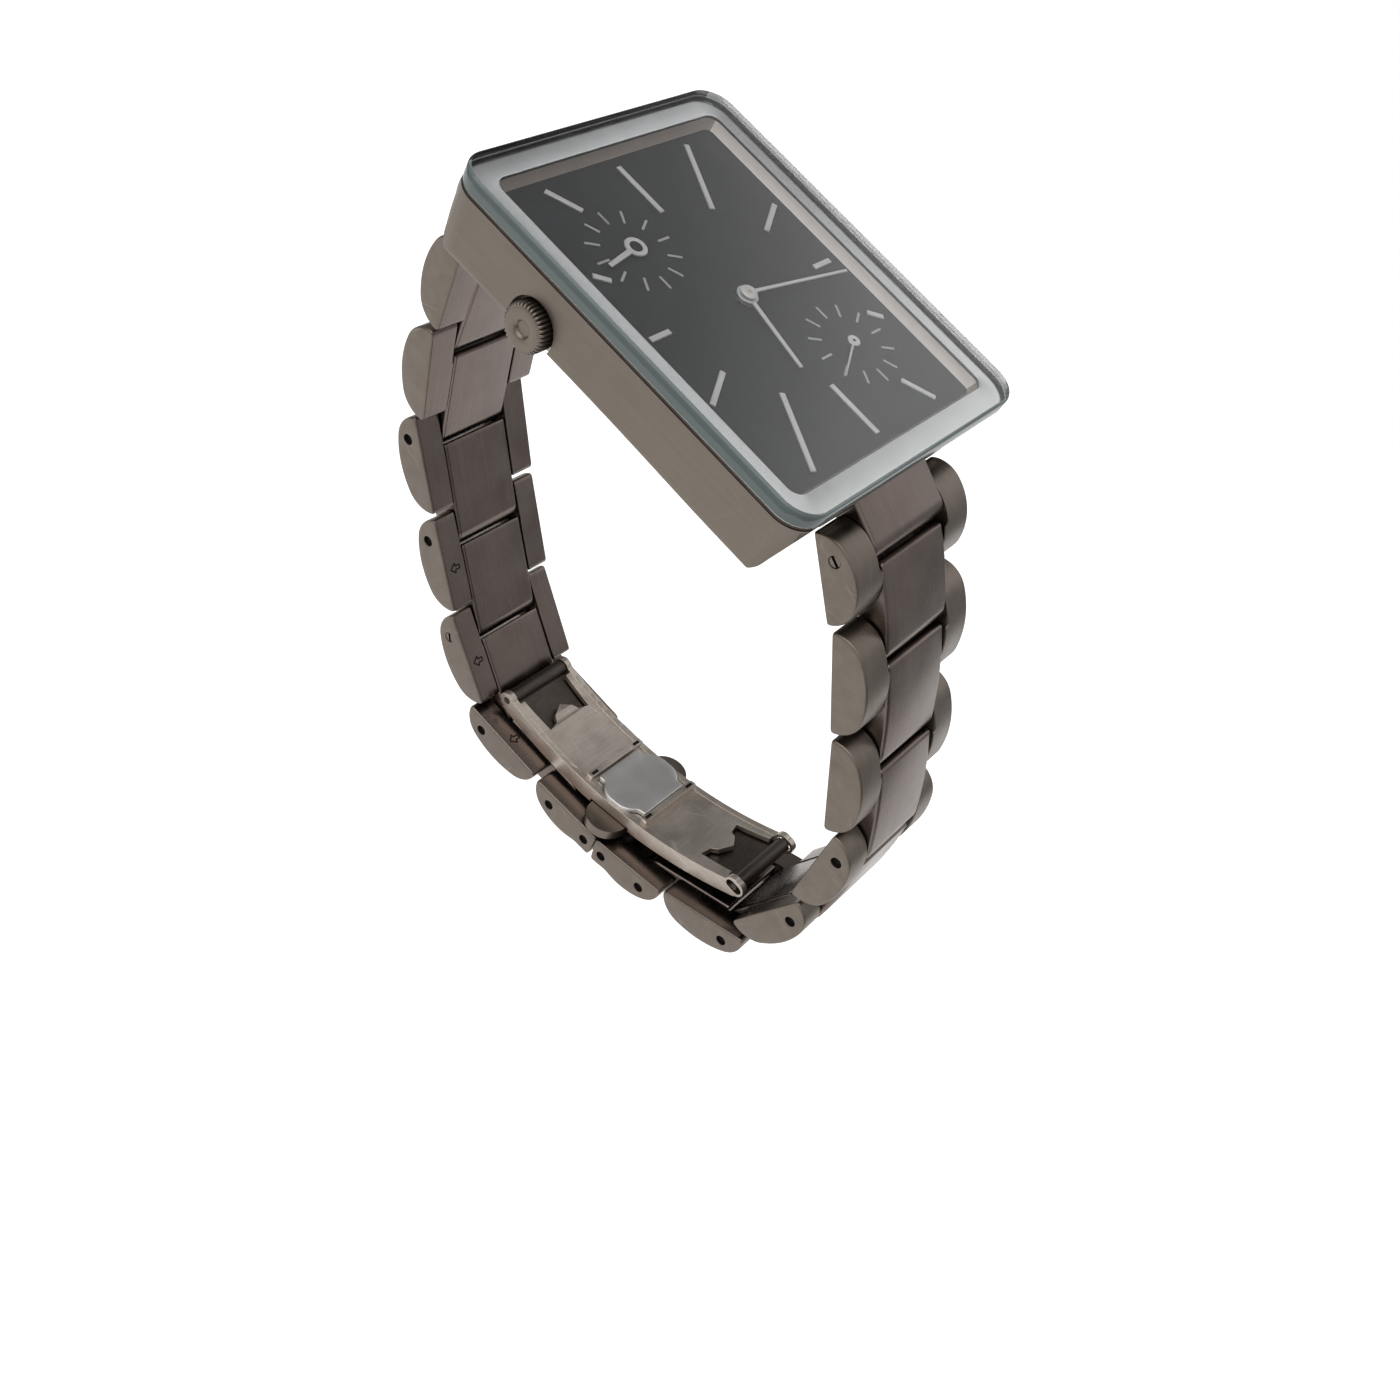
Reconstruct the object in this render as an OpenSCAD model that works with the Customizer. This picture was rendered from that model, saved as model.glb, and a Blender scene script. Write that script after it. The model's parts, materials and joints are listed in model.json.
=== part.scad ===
// Rectangular analog wristwatch with a three-row steel bracelet and a double folding clasp.
// Millimetres. Origin on the middle of the case back's outer face, Z out of the dial,
// Y towards 12 o'clock, X towards 3 o'clock. The bracelet lies closed, bent as it hangs on a stand.

/* [Case] */
// length of the case and glass from 12 to 6
case_length = 39; // [38.6:0.1:41]
// width of the case and glass from 9 to 3
case_width = 32; // [31.6:0.1:35]
// corner radius of the case in plan
corner_radius = 2.8; // [2.2:0.1:3.4]
// height of the glass top over the case back
total_height = 8.6; // [8.6:0.1:9.2]
// thickness of the flat glass
glass_thickness = 1.5; // [1.2:0.1:1.6]
// width of the glass edge chamfer
glass_chamfer = 0.24; // [0.1:0.02:0.4]
// clear width of the silver border
window_width = 27.4; // [26.4:0.1:27.8]
// clear length of the silver border
window_length = 34.1; // [33:0.1:34.3]
// depth of the dial face below the glass
dial_depth = 1.15; // [1.1:0.05:1.3]

/* [Dial and hands] */
// width of the hour batons
baton_width = 0.5; // [0.3:0.05:0.7]
// outer radius of the small dials' marks
small_ring_radius = 4.35; // [3.8:0.05:4.5]
// length of the minute hand
minute_length = 12.05; // [10:0.05:12.6]
// length of the hour hand
hour_length = 7.9; // [6.5:0.05:9]
// length of the second time zone hand
zone_length = 3.87; // [3:0.05:4.3]
// length of the small seconds hand
seconds_length = 4.76; // [3.5:0.05:4.8]

/* [Crown] */
// diameter of the crown
crown_diameter = 4.2; // [3.6:0.1:4.4]
// diameter of the recess round the crown
crown_recess_diameter = 4.8; // [4.7:0.05:5.2]
// travel of the crown from run to set
crown_travel = 1; // [0.6:0.1:1.2]
// diameter of the winding stem
stem_diameter = 1; // [0.9:0.05:1.1]

/* [Bracelet] */
// thickness of the outer links
link_thickness = 3.55; // [3.4:0.05:3.6]
// diameter of the link pins
pin_diameter = 1.1; // [0.9:0.05:1.2]
// diameter of the spring bar body
bar_diameter = 1.2; // [1.1:0.05:1.3]
// thickness of the clasp's bow plate
bow_thickness = 0.6; // [0.5:0.05:0.65]

/* [Hidden] */
$fn = 64;

// heights in the case
glass_z = total_height - glass_thickness;
flange_t = 0.3;
body_top = glass_z - flange_t;
dial_z = glass_z - dial_depth;
dial_t = 0.4;
dial_low = dial_z - dial_t;
back_t = 1.25;
plug_top = 1.85;

// plan sizes inside the case
ring_wall = 0.4;
seat_w = window_width + 2 * ring_wall;
seat_l = window_length + 2 * ring_wall;
fit = 0.05;
back_w = case_width - 4;
back_l = case_length - 6.6;
back_rim = 2;
cavity_w = back_w - 2 * back_rim;
cavity_l = back_l - 2 * back_rim + 0.2;
screw_x = back_w / 2 - 0.95;
screw_y = back_l / 2 - 4.2;

// pocket for the bracelet at each end
pocket_w = 18.2;
pocket_y = 16.6;
pocket_top = 5;
mouth_y = 18;
mouth_top = 6.3;
bar_y = 18;
bar_z = 3.6;

// crown centre on the 9 side
crown_y = 7.55;
crown_z = 2.4;
crown_face = -case_width / 2 - 1;
recess_x = -case_width / 2 + 1.1;
groove_x = -cavity_w / 2 + 2.4;

// small dial centres
zone_xy = [-5.98, 7.75];
seconds_xy = [5.98, -7.75];

// bracelet, as it lies at rest; angles are measured in the side view
pitch = 10.83;
first_pitch = 9.09;
end_link_length = 3.64;
side_low = -1.65;
run = 0.06;
pins_12 = [[21.45, 2.43], [22.53, -6.6], [21.93, -17.4], [19.36, -27.92],
  [12.82, -36.54], [5.86, -44.84], [-2.46, -51.76], [-13.28, -51.62]];
pins_6 = [[-21.12, 1.73], [-27.11, -5.1], [-32.87, -14.27], [-38.08, -23.76],
  [-39.16, -34.53], [-35.92, -44.86], [-26.15, -49.5]];
last_12 = -185.4;
last_6 = -14.4;
blade_pin_s = 5.25;
half_w = [8.7, 8.2, 7.7, 7.25, 7.05, 6.95, 6.9, 6.9, 6.9];
centre_w = [5.3, 4.8, 4.5, 4.3, 4.3, 4.3, 4.3, 4.3, 4.3];

// clasp, built on arcs round one centre in the side view
bow_c = [-8.22, -5.25];
bow_r = 42.5;
bow_low = bow_r + bow_thickness;
hinge_r = 43.11;
hinge_12_a = -82.1;
hinge_6_a = -125;
mid_a = -103.55;
blade_r0 = 43.3;
blade_r1 = 44.15;
rail_r1 = 44.3;
bow_w = 4.6;
rail_t = 0.7;
blade_w = 3.8;
leg_w = 1.5;
pusher_r0 = 43.85;
pusher_r1 = 45;
pusher_in = 2.4;
pusher_out = 7.05;
spring_r = 44.4;
bar_lean = 5.2;

// side view drawing, extruded across the watch from x0 to x1
module across(x0, x1) {
  translate([x0, 0, 0]) rotate([90, 0, 90]) linear_extrude(x1 - x0) children();
}
module bar_x(r, x0, x1, y, z, n = 64) {
  translate([x0, y, z]) rotate([0, 90, 0]) cylinder(r = r, h = x1 - x0, $fn = n);
}
module plan(w, l, r, z0, z1) {
  translate([0, 0, z0]) linear_extrude(z1 - z0) plan_2d(w, l, r);
}
module plan_2d(w, l, r) {
  union() {
    square([w - 2 * r, l], center = true);
    square([w, l - 2 * r], center = true);
    for (i = [-1, 1], j = [-1, 1])
      translate([i * (w / 2 - r), j * (l / 2 - r)]) circle(r);
  }
}

// case

module case_profile() {
  low = 0.9;
  r = 2;
  top = case_length / 2;
  foot = top - 1.2;
  union() {
    polygon([[-foot, low + r], [foot, low + r], [top - 0.1, body_top], [-top + 0.1, body_top]]);
    translate([-foot + r, low]) square([2 * foot - 2 * r, r + 0.1]);
    for (i = [-1, 1]) translate([i * (foot - r), low + r]) circle(r);
  }
}
module case_body() {
  color([0.52, 0.50, 0.47])
  difference() {
    intersection() {
      plan(case_width, case_length, corner_radius, 0, body_top);
      across(-case_width, case_width) case_profile();
      rotate([90, 0, 0]) translate([0, 0, -case_length]) linear_extrude(2 * case_length)
        union() {
          translate([-case_width / 2, 1.9]) square([case_width, body_top]);
          translate([-case_width / 2 + 1, 0.9]) square([case_width - 2, 2]);
          for (i = [-1, 1]) translate([i * (case_width / 2 - 1), 1.9]) circle(1);
        }
    }
    // shallow arch along the lower edge
    bar_x(205.7, -case_width, case_width, 0, 1.6 - 205.7, 1440);
    // seat of the dial and its ring
    plan(seat_w + 2 * fit, seat_l + 2 * fit, 1.6, dial_low, body_top + 1);
    // room for the movement
    plan(cavity_w, cavity_l, 3, 0, dial_low + 0.5);
    // seat of the case back
    plan(back_w + 0.2, back_l + 0.1, 2.6, -1, back_t + fit);
    // pocket and mouth for the bracelet, at each end
    for (i = [-1, 1]) {
      translate([-pocket_w / 2, i > 0 ? pocket_y : -pocket_y - 10, -1])
        cube([pocket_w, 10, pocket_top + 1]);
      translate([-pocket_w / 2, i > 0 ? mouth_y : -mouth_y - 10, -1])
        cube([pocket_w, 10, mouth_top + 1]);
      for (j = [-1, 1])
        bar_x(0.4, j > 0 ? pocket_w / 2 - 0.1 : -pocket_w / 2 - 1.5,
          j > 0 ? pocket_w / 2 + 1.5 : -pocket_w / 2 + 0.1, i * bar_y, bar_z);
    }
    // recess of the crown and bore of its tube
    bar_x(crown_recess_diameter / 2, -case_width, recess_x, crown_y, crown_z);
    bar_x(1, recess_x - 0.1, -cavity_w / 2 + 1, crown_y, crown_z);
    // holes of the back's screws
    for (i = [-1, 1], j = [-1, 1])
      translate([i * screw_x, j * screw_y, 0]) cylinder(d = 1, h = 3.4);
  }
}
module case_back() {
  color([0.56, 0.55, 0.53])
  difference() {
    union() {
      plan(back_w, back_l, 2.5, 0, back_t);
      plan(cavity_w - 0.2, cavity_l - 0.2, 2.9, back_t - 0.1, plug_top);
    }
    for (i = [-1, 1], j = [-1, 1]) translate([i * screw_x, j * screw_y, 0]) {
      translate([0, 0, -1]) cylinder(d = 1.12, h = 4);
      translate([0, 0, -1]) cylinder(d = 1.9, h = 1.55);
    }
    // groove of the seal
    translate([0, 0, back_t - 0.3]) linear_extrude(0.5) difference() {
      plan_2d(cavity_w + 1, cavity_l + 1.2, 3.4);
      plan_2d(cavity_w + 0.2, cavity_l + 0.2, 3);
    }
  }
}
module case_back_gasket() {
  color([0.12, 0.12, 0.12])
  translate([0, 0, back_t - 0.3]) linear_extrude(0.34) difference() {
    plan_2d(cavity_w + 0.9, cavity_l + 1.1, 3.35);
    plan_2d(cavity_w + 0.3, cavity_l + 0.3, 3.05);
  }
}
module case_back_screws() {
  color([0.7, 0.7, 0.7])
  for (i = [-1, 1], j = [-1, 1]) translate([i * screw_x, j * screw_y, 0]) difference() {
    union() {
      translate([0, 0, 0.05]) cylinder(d = 1.8, h = 0.5);
      translate([0, 0, 0.4]) cylinder(d = 0.98, h = 2.8);
    }
    translate([-1, -0.15, -0.2]) cube([2, 0.3, 0.45]);
  }
}
module crystal() {
  c = glass_chamfer;
  r = corner_radius;
  w = case_width / 2;
  l = case_length / 2;
  color([0.75, 0.85, 0.82, 0.35])
  union() {
    plan(case_width, case_length, r, glass_z, total_height - c);
    translate([0, 0, total_height - c]) {
      across(-w + r, w - r) polygon([[-l, 0], [l, 0], [l - c, c], [-l + c, c]]);
      rotate([90, 0, 0]) translate([0, 0, -l + r]) linear_extrude(2 * l - 2 * r)
        polygon([[-w, 0], [w, 0], [w - c, c], [-w + c, c]]);
      for (i = [-1, 1], j = [-1, 1]) translate([i * (w - r), j * (l - r), 0])
        cylinder(r1 = r, r2 = r - c, h = c);
    }
  }
}

// dial and hands

module dial_ring() {
  color([0.80, 0.78, 0.76])
  difference() {
    union() {
      plan(case_width - 0.2, case_length - 0.2, corner_radius - 0.1, body_top, glass_z);
      plan(seat_w, seat_l, 1.55, dial_z, body_top + 0.1);
    }
    plan(window_width, window_length, 1.2, dial_z - 1, glass_z + 1);
  }
}
module dial() {
  color([0.16, 0.16, 0.17])
  difference() {
    plan(seat_w, seat_l, 1.55, dial_low, dial_z);
    translate([0, 0, dial_low - 1]) cylinder(d = 2, h = 2);
    for (p = [zone_xy, seconds_xy]) translate([p[0], p[1], dial_low - 1]) cylinder(d = 1.1, h = 2);
  }
}
// batons of 12, 1, 2, 3, 4 and 5, outer end first; the others are these turned half round
baton_x = window_width / 2 - 1.6;
baton_y = window_length / 2 - 1.5;
baton_ends = [[[0, baton_y], [0, baton_y - 5.45]], [[9, baton_y], [5.2, baton_y - 6.8]],
  [[baton_x, 7], [baton_x - 3.55, 4.95]], [[baton_x, 0], [baton_x - 2.3, 0]],
  [[baton_x - 0.3, -6.95], [baton_x - 1.5, -5.9]], [[8.9, -baton_y], [7.25, -baton_y + 2.9]]];
module baton(a, b, w, t) {
  d = b - a;
  translate([a[0], a[1], dial_z]) rotate([0, 0, atan2(d[1], d[0])])
    translate([0, -w / 2, 0]) cube([norm(d), w, t]);
}
module dial_batons() {
  color([0.82, 0.82, 0.82])
  for (b = baton_ends, s = [-1, 1]) baton(s * b[0], s * b[1], baton_width, 0.15);
}
module dial_marks() {
  color([0.62, 0.62, 0.62])
  for (p = [zone_xy, seconds_xy], i = [0:11])
    baton(p + small_ring_radius * [sin(30 * i), cos(30 * i)],
      p + (small_ring_radius - 1.35) * [sin(30 * i), cos(30 * i)], 0.22, 0.04);
}
module hour_hand() {
  z = dial_z + 0.35;
  color([0.85, 0.85, 0.85])
  difference() {
    union() {
      translate([0, 0, z]) cylinder(d = 1.9, h = 0.12);
      translate([0, 0, dial_z - 0.2]) cylinder(d = 1.3, h = 0.6);
      translate([0, 0, z]) rotate([0, 0, -101.7]) translate([0.5, -0.27, 0])
        cube([hour_length - 0.5, 0.54, 0.12]);
    }
    translate([0, 0, dial_z - 1]) cylinder(d = 0.9, h = 3);
  }
}
module minute_hand() {
  z = dial_z + 0.62;
  color([0.87, 0.87, 0.87])
  difference() {
    union() {
      translate([0, 0, z]) cylinder(d = 1.5, h = 0.2);
      translate([0, 0, z]) rotate([0, 0, -8.8]) translate([-0.2, -0.2, 0])
        cube([minute_length + 0.2, 0.4, 0.12]);
    }
    translate([0, 0, dial_z - 1]) cylinder(d = 0.5, h = 3);
  }
}
module second_zone_hand() {
  z = dial_z + 0.3;
  color([0.87, 0.87, 0.87])
  translate([zone_xy[0], zone_xy[1], 0])
  difference() {
    union() {
      translate([0, 0, z]) cylinder(d = 2, h = 0.15);
      translate([0, 0, z]) rotate([0, 0, 190.6]) translate([0.2, -0.24, 0])
        cube([zone_length - 0.2, 0.48, 0.12]);
    }
    translate([0, 0, dial_z - 1]) cylinder(d = 0.5, h = 3);
  }
}
module small_seconds_hand() {
  z = dial_z + 0.3;
  color([0.87, 0.87, 0.87])
  translate([seconds_xy[0], seconds_xy[1], 0])
  difference() {
    union() {
      translate([0, 0, z]) cylinder(d = 1.2, h = 0.15);
      translate([0, 0, z]) rotate([0, 0, 209.7]) translate([0.1, -0.1, 0])
        cube([seconds_length - 0.1, 0.2, 0.1]);
    }
    translate([0, 0, dial_z - 1]) cylinder(d = 0.36, h = 3);
  }
}

// movement, battery and crown

battery_xy = [4.2, 5.5];
module movement() {
  color([0.72, 0.68, 0.58])
  difference() {
    union() {
      plan(cavity_w - 0.4, cavity_l - 0.4, 2.8, plug_top + 0.1, dial_low);
      translate([0, 0, dial_low - 0.1]) cylinder(d = 0.8, h = 0.55 + dial_t);
      translate([0, 0, dial_low - 0.1]) cylinder(d = 0.42, h = 0.9 + dial_t);
      translate([zone_xy[0], zone_xy[1], dial_low - 0.1]) cylinder(d = 0.42, h = 0.52 + dial_t);
      translate([seconds_xy[0], seconds_xy[1], dial_low - 0.1]) cylinder(d = 0.28, h = 0.52 + dial_t);
    }
    // well round the hour hand's pipe
    translate([0, 0, dial_low - 0.3]) difference() {
      cylinder(d = 1.6, h = 0.3);
      translate([0, 0, -1]) cylinder(d = 0.8, h = 2);
    }
    // battery well
    translate([battery_xy[0], battery_xy[1], 0]) cylinder(d = 7, h = 3.8);
    // channel of the stem and its lever
    translate([-cavity_w, crown_y - 1.4, 0]) cube([cavity_w + groove_x + 2, 2.8, 3.6]);
  }
}
module battery() {
  color([0.75, 0.75, 0.76])
  translate([battery_xy[0], battery_xy[1], plug_top + 0.15]) union() {
    cylinder(d = 6.8, h = 1.3);
    translate([0, 0, 1.2]) cylinder(d = 5.6, h = 0.35);
  }
}
module setting_lever() {
  color([0.7, 0.66, 0.5])
  difference() {
    translate([groove_x, crown_y - 1, plug_top + 0.1]) cube([0.4, 2, 1.6]);
    bar_x(stem_diameter * 0.35 + fit, groove_x - 1, groove_x + 1, crown_y, crown_z);
    translate([groove_x - 1, crown_y - stem_diameter * 0.35 - fit, 0])
      cube([2, stem_diameter * 0.7 + 2 * fit, crown_z]);
  }
}
module stem() {
  r = stem_diameter / 2;
  color([0.7, 0.7, 0.7])
  difference() {
    bar_x(r, crown_face + 0.8, groove_x + 1.4, crown_y, crown_z);
    difference() {
      bar_x(r + 1, groove_x - fit, groove_x + 0.4 + fit, crown_y, crown_z);
      bar_x(0.7 * r, groove_x - 1, groove_x + 1.4, crown_y, crown_z);
    }
  }
}
module crown() {
  r = crown_diameter / 2;
  n = 36;
  color([0.55, 0.53, 0.50])
  difference() {
    union() {
      bar_x(r, crown_face + 0.25, recess_x - 0.15, crown_y, crown_z);
      bar_x(r - 0.25, crown_face, crown_face + 0.3, crown_y, crown_z);
    }
    for (i = [0:n - 1]) translate([0, crown_y, crown_z]) rotate([360 * i / n, 0, 0])
      translate([crown_face - 0.1, -0.08, r - 0.12]) cube([1.9, 0.16, 1]);
    bar_x(0.75, crown_face - 1, crown_face + 0.12, crown_y, crown_z);
    bar_x(stem_diameter / 2 + 0.01, crown_face + 0.79, 0, crown_y, crown_z);
    // hollow that clears the tube's flange
    bar_x(1.5, recess_x - 0.6, 0, crown_y, crown_z);
  }
}
module crown_tube() {
  color([0.7, 0.7, 0.7])
  difference() {
    union() {
      bar_x(0.98, recess_x - 0.05, -cavity_w / 2, crown_y, crown_z);
      bar_x(1.35, recess_x - 0.4, recess_x - 0.02, crown_y, crown_z);
    }
    bar_x(stem_diameter / 2 + fit, -20, 0, crown_y, crown_z);
  }
}
module spring_bars() {
  color([0.7, 0.7, 0.7])
  for (i = [-1, 1]) union() {
    bar_x(bar_diameter / 2, -pocket_w / 2 + 0.2, pocket_w / 2 - 0.2, i * bar_y, bar_z);
    bar_x(0.35, -pocket_w / 2 - 1.3, pocket_w / 2 + 1.3, i * bar_y, bar_z);
  }
}

// bracelet

function to(a, b) = atan2(b[1] - a[1], b[0] - a[0]);
function pins(s) = s > 0 ? pins_12 : pins_6;
function count(s) = s > 0 ? 8 : 7;
function lean(s, k) = k < count(s) - 1 ? to(pins(s)[k], pins(s)[k + 1]) : (s > 0 ? last_12 : last_6);
function reach(s, k) = k == 0 ? first_pitch : pitch;
function lead(s) = to([s * bar_y, bar_z], pins(s)[0]);

// drawing in a link's own view, x along the bracelet and y outwards
module link_view(p, a, s) {
  translate(p) rotate(a) mirror([0, s > 0 ? 0 : 1]) children();
}
module side_shape(end, flat_end) {
  r = 2.95;
  top = link_thickness + side_low;
  c1 = 0.5;
  c2 = end - 3;
  m = (c1 + c2) / 2;
  half = (c2 - c1) / 2;
  rise = top - (side_low + 0.25 + r);
  big = (half * half + rise * rise) / (2 * rise) + r;
  intersection() {
    union() {
      translate([c1, side_low + 0.25]) circle(r);
      translate([c2, side_low + 0.25]) circle(r + 0.02);
      if (flat_end) translate([m, side_low]) square([end - m, 3.1]);
      intersection() {
        translate([m, top - big]) circle(big);
        translate([c1 - 0.45, side_low]) square([c2 - c1 + 0.9, 5]);
      }
    }
    translate([-3, side_low]) square([end + 3, 6]);
  }
}
module side_links(s, k) {
  p = pins(s)[k];
  a = lean(s, k);
  last = k == count(s) - 1;
  end = last ? 6.43 : reach(s, k) - 3.13;
  w0 = half_w[k];
  w1 = half_w[k + 1];
  ci = centre_w[k];
  cn = centre_w[k + 1];
  slope = (w0 - w1) / reach(s, k);
  big_hole = k > 2;
  color([0.50, 0.48, 0.45])
  union() {
    difference() {
      for (j = [-1, 1]) intersection() {
        across(j > 0 ? cn : -w0 - 1, j > 0 ? w0 + 1 : -cn) link_view(p, a, s) side_shape(end, last);
        // slanted outer side that carries the taper
        translate([0, p[0], p[1]]) rotate([a, 0, 0]) mirror([0, 0, s > 0 ? 0 : 1])
          linear_extrude(20, center = true)
          polygon([[0, -5], [j * (w0 + 5 * slope), -5], [j * (w0 - 12 * slope), 12], [0, 12]]);
      }
      // room for the centre link before this one
      across(-ci - run, ci + run) link_view(p, a, s) union() {
        circle(1.9);
        translate([-5, -3]) square([5, 8]);
      }
      // pin holes
      if (big_hole || k == 0) across(-20, 20) link_view(p, a, s) circle(d = pin_diameter);
      if (!(big_hole || k == 0)) across(-w1 + 0.5, w1 - 0.5) link_view(p, a, s) circle(d = pin_diameter);
      if (last) across(-20, 20) link_view(p, a, s) translate([blade_pin_s, 0]) circle(d = pin_diameter);
      // blind holes of the centre link's studs
      if (!last) across(-cn - 1.05, cn + 1.05) link_view(p, a, s) translate([4.9, 0]) circle(d = 1.24);
    }
    // link pins, their ends below the outer sides
    pin_x = big_hole ? w1 - 0.35 : (k == 0 ? w1 + 0.05 : w1 - 0.55);
    across(-pin_x, pin_x) link_view(p, a, s) circle(d = pin_diameter - 0.02);
    if (last) across(-pin_x, pin_x) link_view(p, a, s) translate([blade_pin_s, 0])
      circle(d = pin_diameter - 0.02);
  }
}
module centre_link(s, k) {
  p = pins(s)[k];
  a = lean(s, k);
  w = centre_w[k + 1];
  last = k == count(s) - 1;
  q = reach(s, k);
  r = 1.7;
  color([0.47, 0.45, 0.42])
  union() {
    difference() {
      across(-w, w) link_view(p, a, s) difference() {
        union() {
          translate([0, -1.65]) square([last ? 6.43 : q, 3.3]);
          if (!last) translate([q, 0]) circle(r);
        }
        circle(1.88);
        translate([-1, -3]) square([2.4, 2]);
        if (!last) translate([q, 0]) circle(d = pin_diameter + 0.1);
        if (last) translate([-3, -3]) square([13, 3.9]);
        if (last) translate([blade_pin_s, 0]) circle(1.32);
      }
    }
    // studs that key the centre link to its side links
    if (!last) for (j = [-1, 1]) across(j > 0 ? w - 0.2 : -w - 1, j > 0 ? w + 1 : -w + 0.2)
      link_view(p, a, s) translate([4.9, 0]) circle(d = 1.2);
  }
}
module end_link(s) {
  p = [s * bar_y, bar_z];
  a = lead(s);
  q = end_link_length;
  color([0.47, 0.45, 0.42])
  across(-centre_w[0], centre_w[0]) link_view(p, a, s) difference() {
    union() {
      circle(1.25);
      translate([q, 0]) circle(1.7);
      polygon([[-0.15, -1.24], [q - 0.2, -1.69], [q - 0.2, 1.69], [-0.15, 1.24]]);
    }
    circle(d = bar_diameter + 0.1);
    translate([q, 0]) circle(d = pin_diameter + 0.1);
  }
}

// clasp

function polar(r, a) = bow_c + r * [cos(a), sin(a)];
function blade_pin(s) = pins(s)[count(s) - 1]
  + blade_pin_s * [cos(lean(s, count(s) - 1)), sin(lean(s, count(s) - 1))];
function hinge(s) = polar(hinge_r, s > 0 ? hinge_12_a : hinge_6_a);
module arc(r0, r1, a0, a1) {
  m = (a0 + a1) / 2;
  intersection() {
    translate(bow_c) difference() {
      circle(r1, $fn = 200);
      circle(r0, $fn = 200);
    }
    polygon([bow_c, polar(80, a0), polar(90, m), polar(80, a1)]);
  }
}
// places flat pieces on the bow, z away from the bow's centre, y along the bow
module on_bow(a) {
  translate([0, bow_c[0], bow_c[1]]) rotate([a - 90, 0, 0]) children();
}
module window_2d() {
  polygon([[-3.3, -3.2], [3.3, -3.2], [3, 1.9], [1.7, 1.6], [1.35, 0.9], [0.1, 0.1],
    [-1.35, 0.9], [-1.7, 1.6], [-3, 1.9]]);
}
module clasp_bow() {
  color([0.62, 0.60, 0.57])
  difference() {
    union() {
      across(-bow_w, bow_w) arc(bow_r, bow_low, hinge_12_a - 0.2, hinge_6_a + 0.2);
      for (j = [-1, 1]) across(j > 0 ? bow_w - rail_t : -bow_w, j > 0 ? bow_w : -bow_w + rail_t)
        union() {
          arc(bow_r - 0.1, rail_r1, hinge_12_a, hinge_6_a);
          translate(hinge(1)) circle(0.95);
          for (i = [-1, 1]) translate(hinge(-1) + [0.25 * i, 0]) circle(0.95);
        }
      // bars that hold the cover plate
      for (i = [-1, 1]) on_bow(mid_a + i * bar_lean) translate([-4.1, -0.35, bow_r - 0.8])
        cube([8.2, 0.7, 0.9]);
    }
    // windows with a tooth, one near each hinge
    for (i = [-1, 1]) on_bow(i > 0 ? hinge_12_a - 4.5 : hinge_6_a + 4.5)
      translate([0, 0, bow_r - 1]) linear_extrude(1.9) mirror([0, i > 0 ? 0 : 1, 0]) window_2d();
    // the blades' knuckles fill the ends between the rails
    for (s = [-1, 1]) across(-bow_w + rail_t, bow_w - rail_t) translate(hinge(s)) circle(1.3);
    // hinge hole at the 12 end, open slot with clearance at the 6 end
    across(-10, 10) translate(hinge(1)) circle(0.4);
    across(-10, 10) translate(hinge(-1)) union() {
      square([0.86, 1.02], center = true);
      for (i = [-1, 1]) translate([i * 0.43, 0]) circle(0.51);
    }
    // gaps in the rails for the pushers
    on_bow(mid_a) translate([-6, -2.6, pusher_r0 - 0.1]) cube([12, 5.2, 3]);
  }
}
module blade(s) {
  h = hinge(s);
  b = blade_pin(s);
  a0 = s > 0 ? hinge_12_a - 0.4 : hinge_6_a + 0.4;
  a1 = mid_a + s * 4.6;
  leg = polar(43.8, a1);
  color([0.60, 0.58, 0.55])
  difference() {
    union() {
      across(-blade_w, blade_w) union() {
        translate(h) circle(0.8);
        arc(blade_r0, blade_r1, a0, a1);
      }
      across(-leg_w, leg_w) translate(leg) rotate(to(leg, b)) translate([-0.3, -0.45])
        square([norm(b - leg) + 0.3, 0.9]);
      across(-3.9, 3.9) translate(b) circle(1.1);
      if (s < 0) across(-bow_w + 0.05, bow_w - 0.05) translate(h) circle(0.35);
    }
    across(-10, 10) translate(b) circle(d = pin_diameter + 0.1);
    if (s > 0) across(-10, 10) translate(h) circle(0.36);
  }
}
module clasp_blade_12() {
  blade(1);
  // hinge pin of the bow, seated in this blade
  color([0.7, 0.7, 0.7]) across(-bow_w - 0.05, bow_w + 0.05) translate(hinge(1)) circle(0.35);
}
module clasp_blade_6() { blade(-1); }
module clasp_cover() {
  color([0.66, 0.65, 0.62])
  intersection() {
    across(-4.4, 4.4) arc(bow_r - 0.52, bow_r - 0.105, mid_a + 8, mid_a - 8);
    on_bow(mid_a) translate([0, 0, bow_r - 4]) linear_extrude(8) union() {
      square([6.4, 6.7], center = true);
      for (i = [-1, 1]) translate([i * 1.6, 0]) circle(2.9);
    }
  }
}
module lock_block() {
  color([0.6, 0.6, 0.6])
  on_bow(mid_a) difference() {
    union() {
      translate([-3.8, -2.4, bow_low + 0.03]) cube([7.6, 4.8, 0.6]);
      translate([-1.3, -0.9, bow_low + 0.5]) cube([2.6, 1.8, 1.5]);
    }
    translate([-5, 0, spring_r]) rotate([0, 90, 0]) cylinder(r = 0.6, h = 10);
  }
}
module pusher(j) {
  color([0.55, 0.53, 0.50])
  on_bow(mid_a) intersection() {
    translate([0, 0, pusher_r0]) linear_extrude(pusher_r1 - pusher_r0) union() {
      translate([j > 0 ? pusher_in : -pusher_in - 2.5, -2.3]) square([2.5, 4.6]);
      translate([j * (pusher_out - 2.3), 0]) circle(2.3);
    }
    translate([j > 0 ? pusher_in : -pusher_out - 0.15, -3, 40])
      cube([pusher_out + 0.15 - pusher_in, 6, 8]);
  }
}
module pusher_near() { pusher(-1); }
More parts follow.
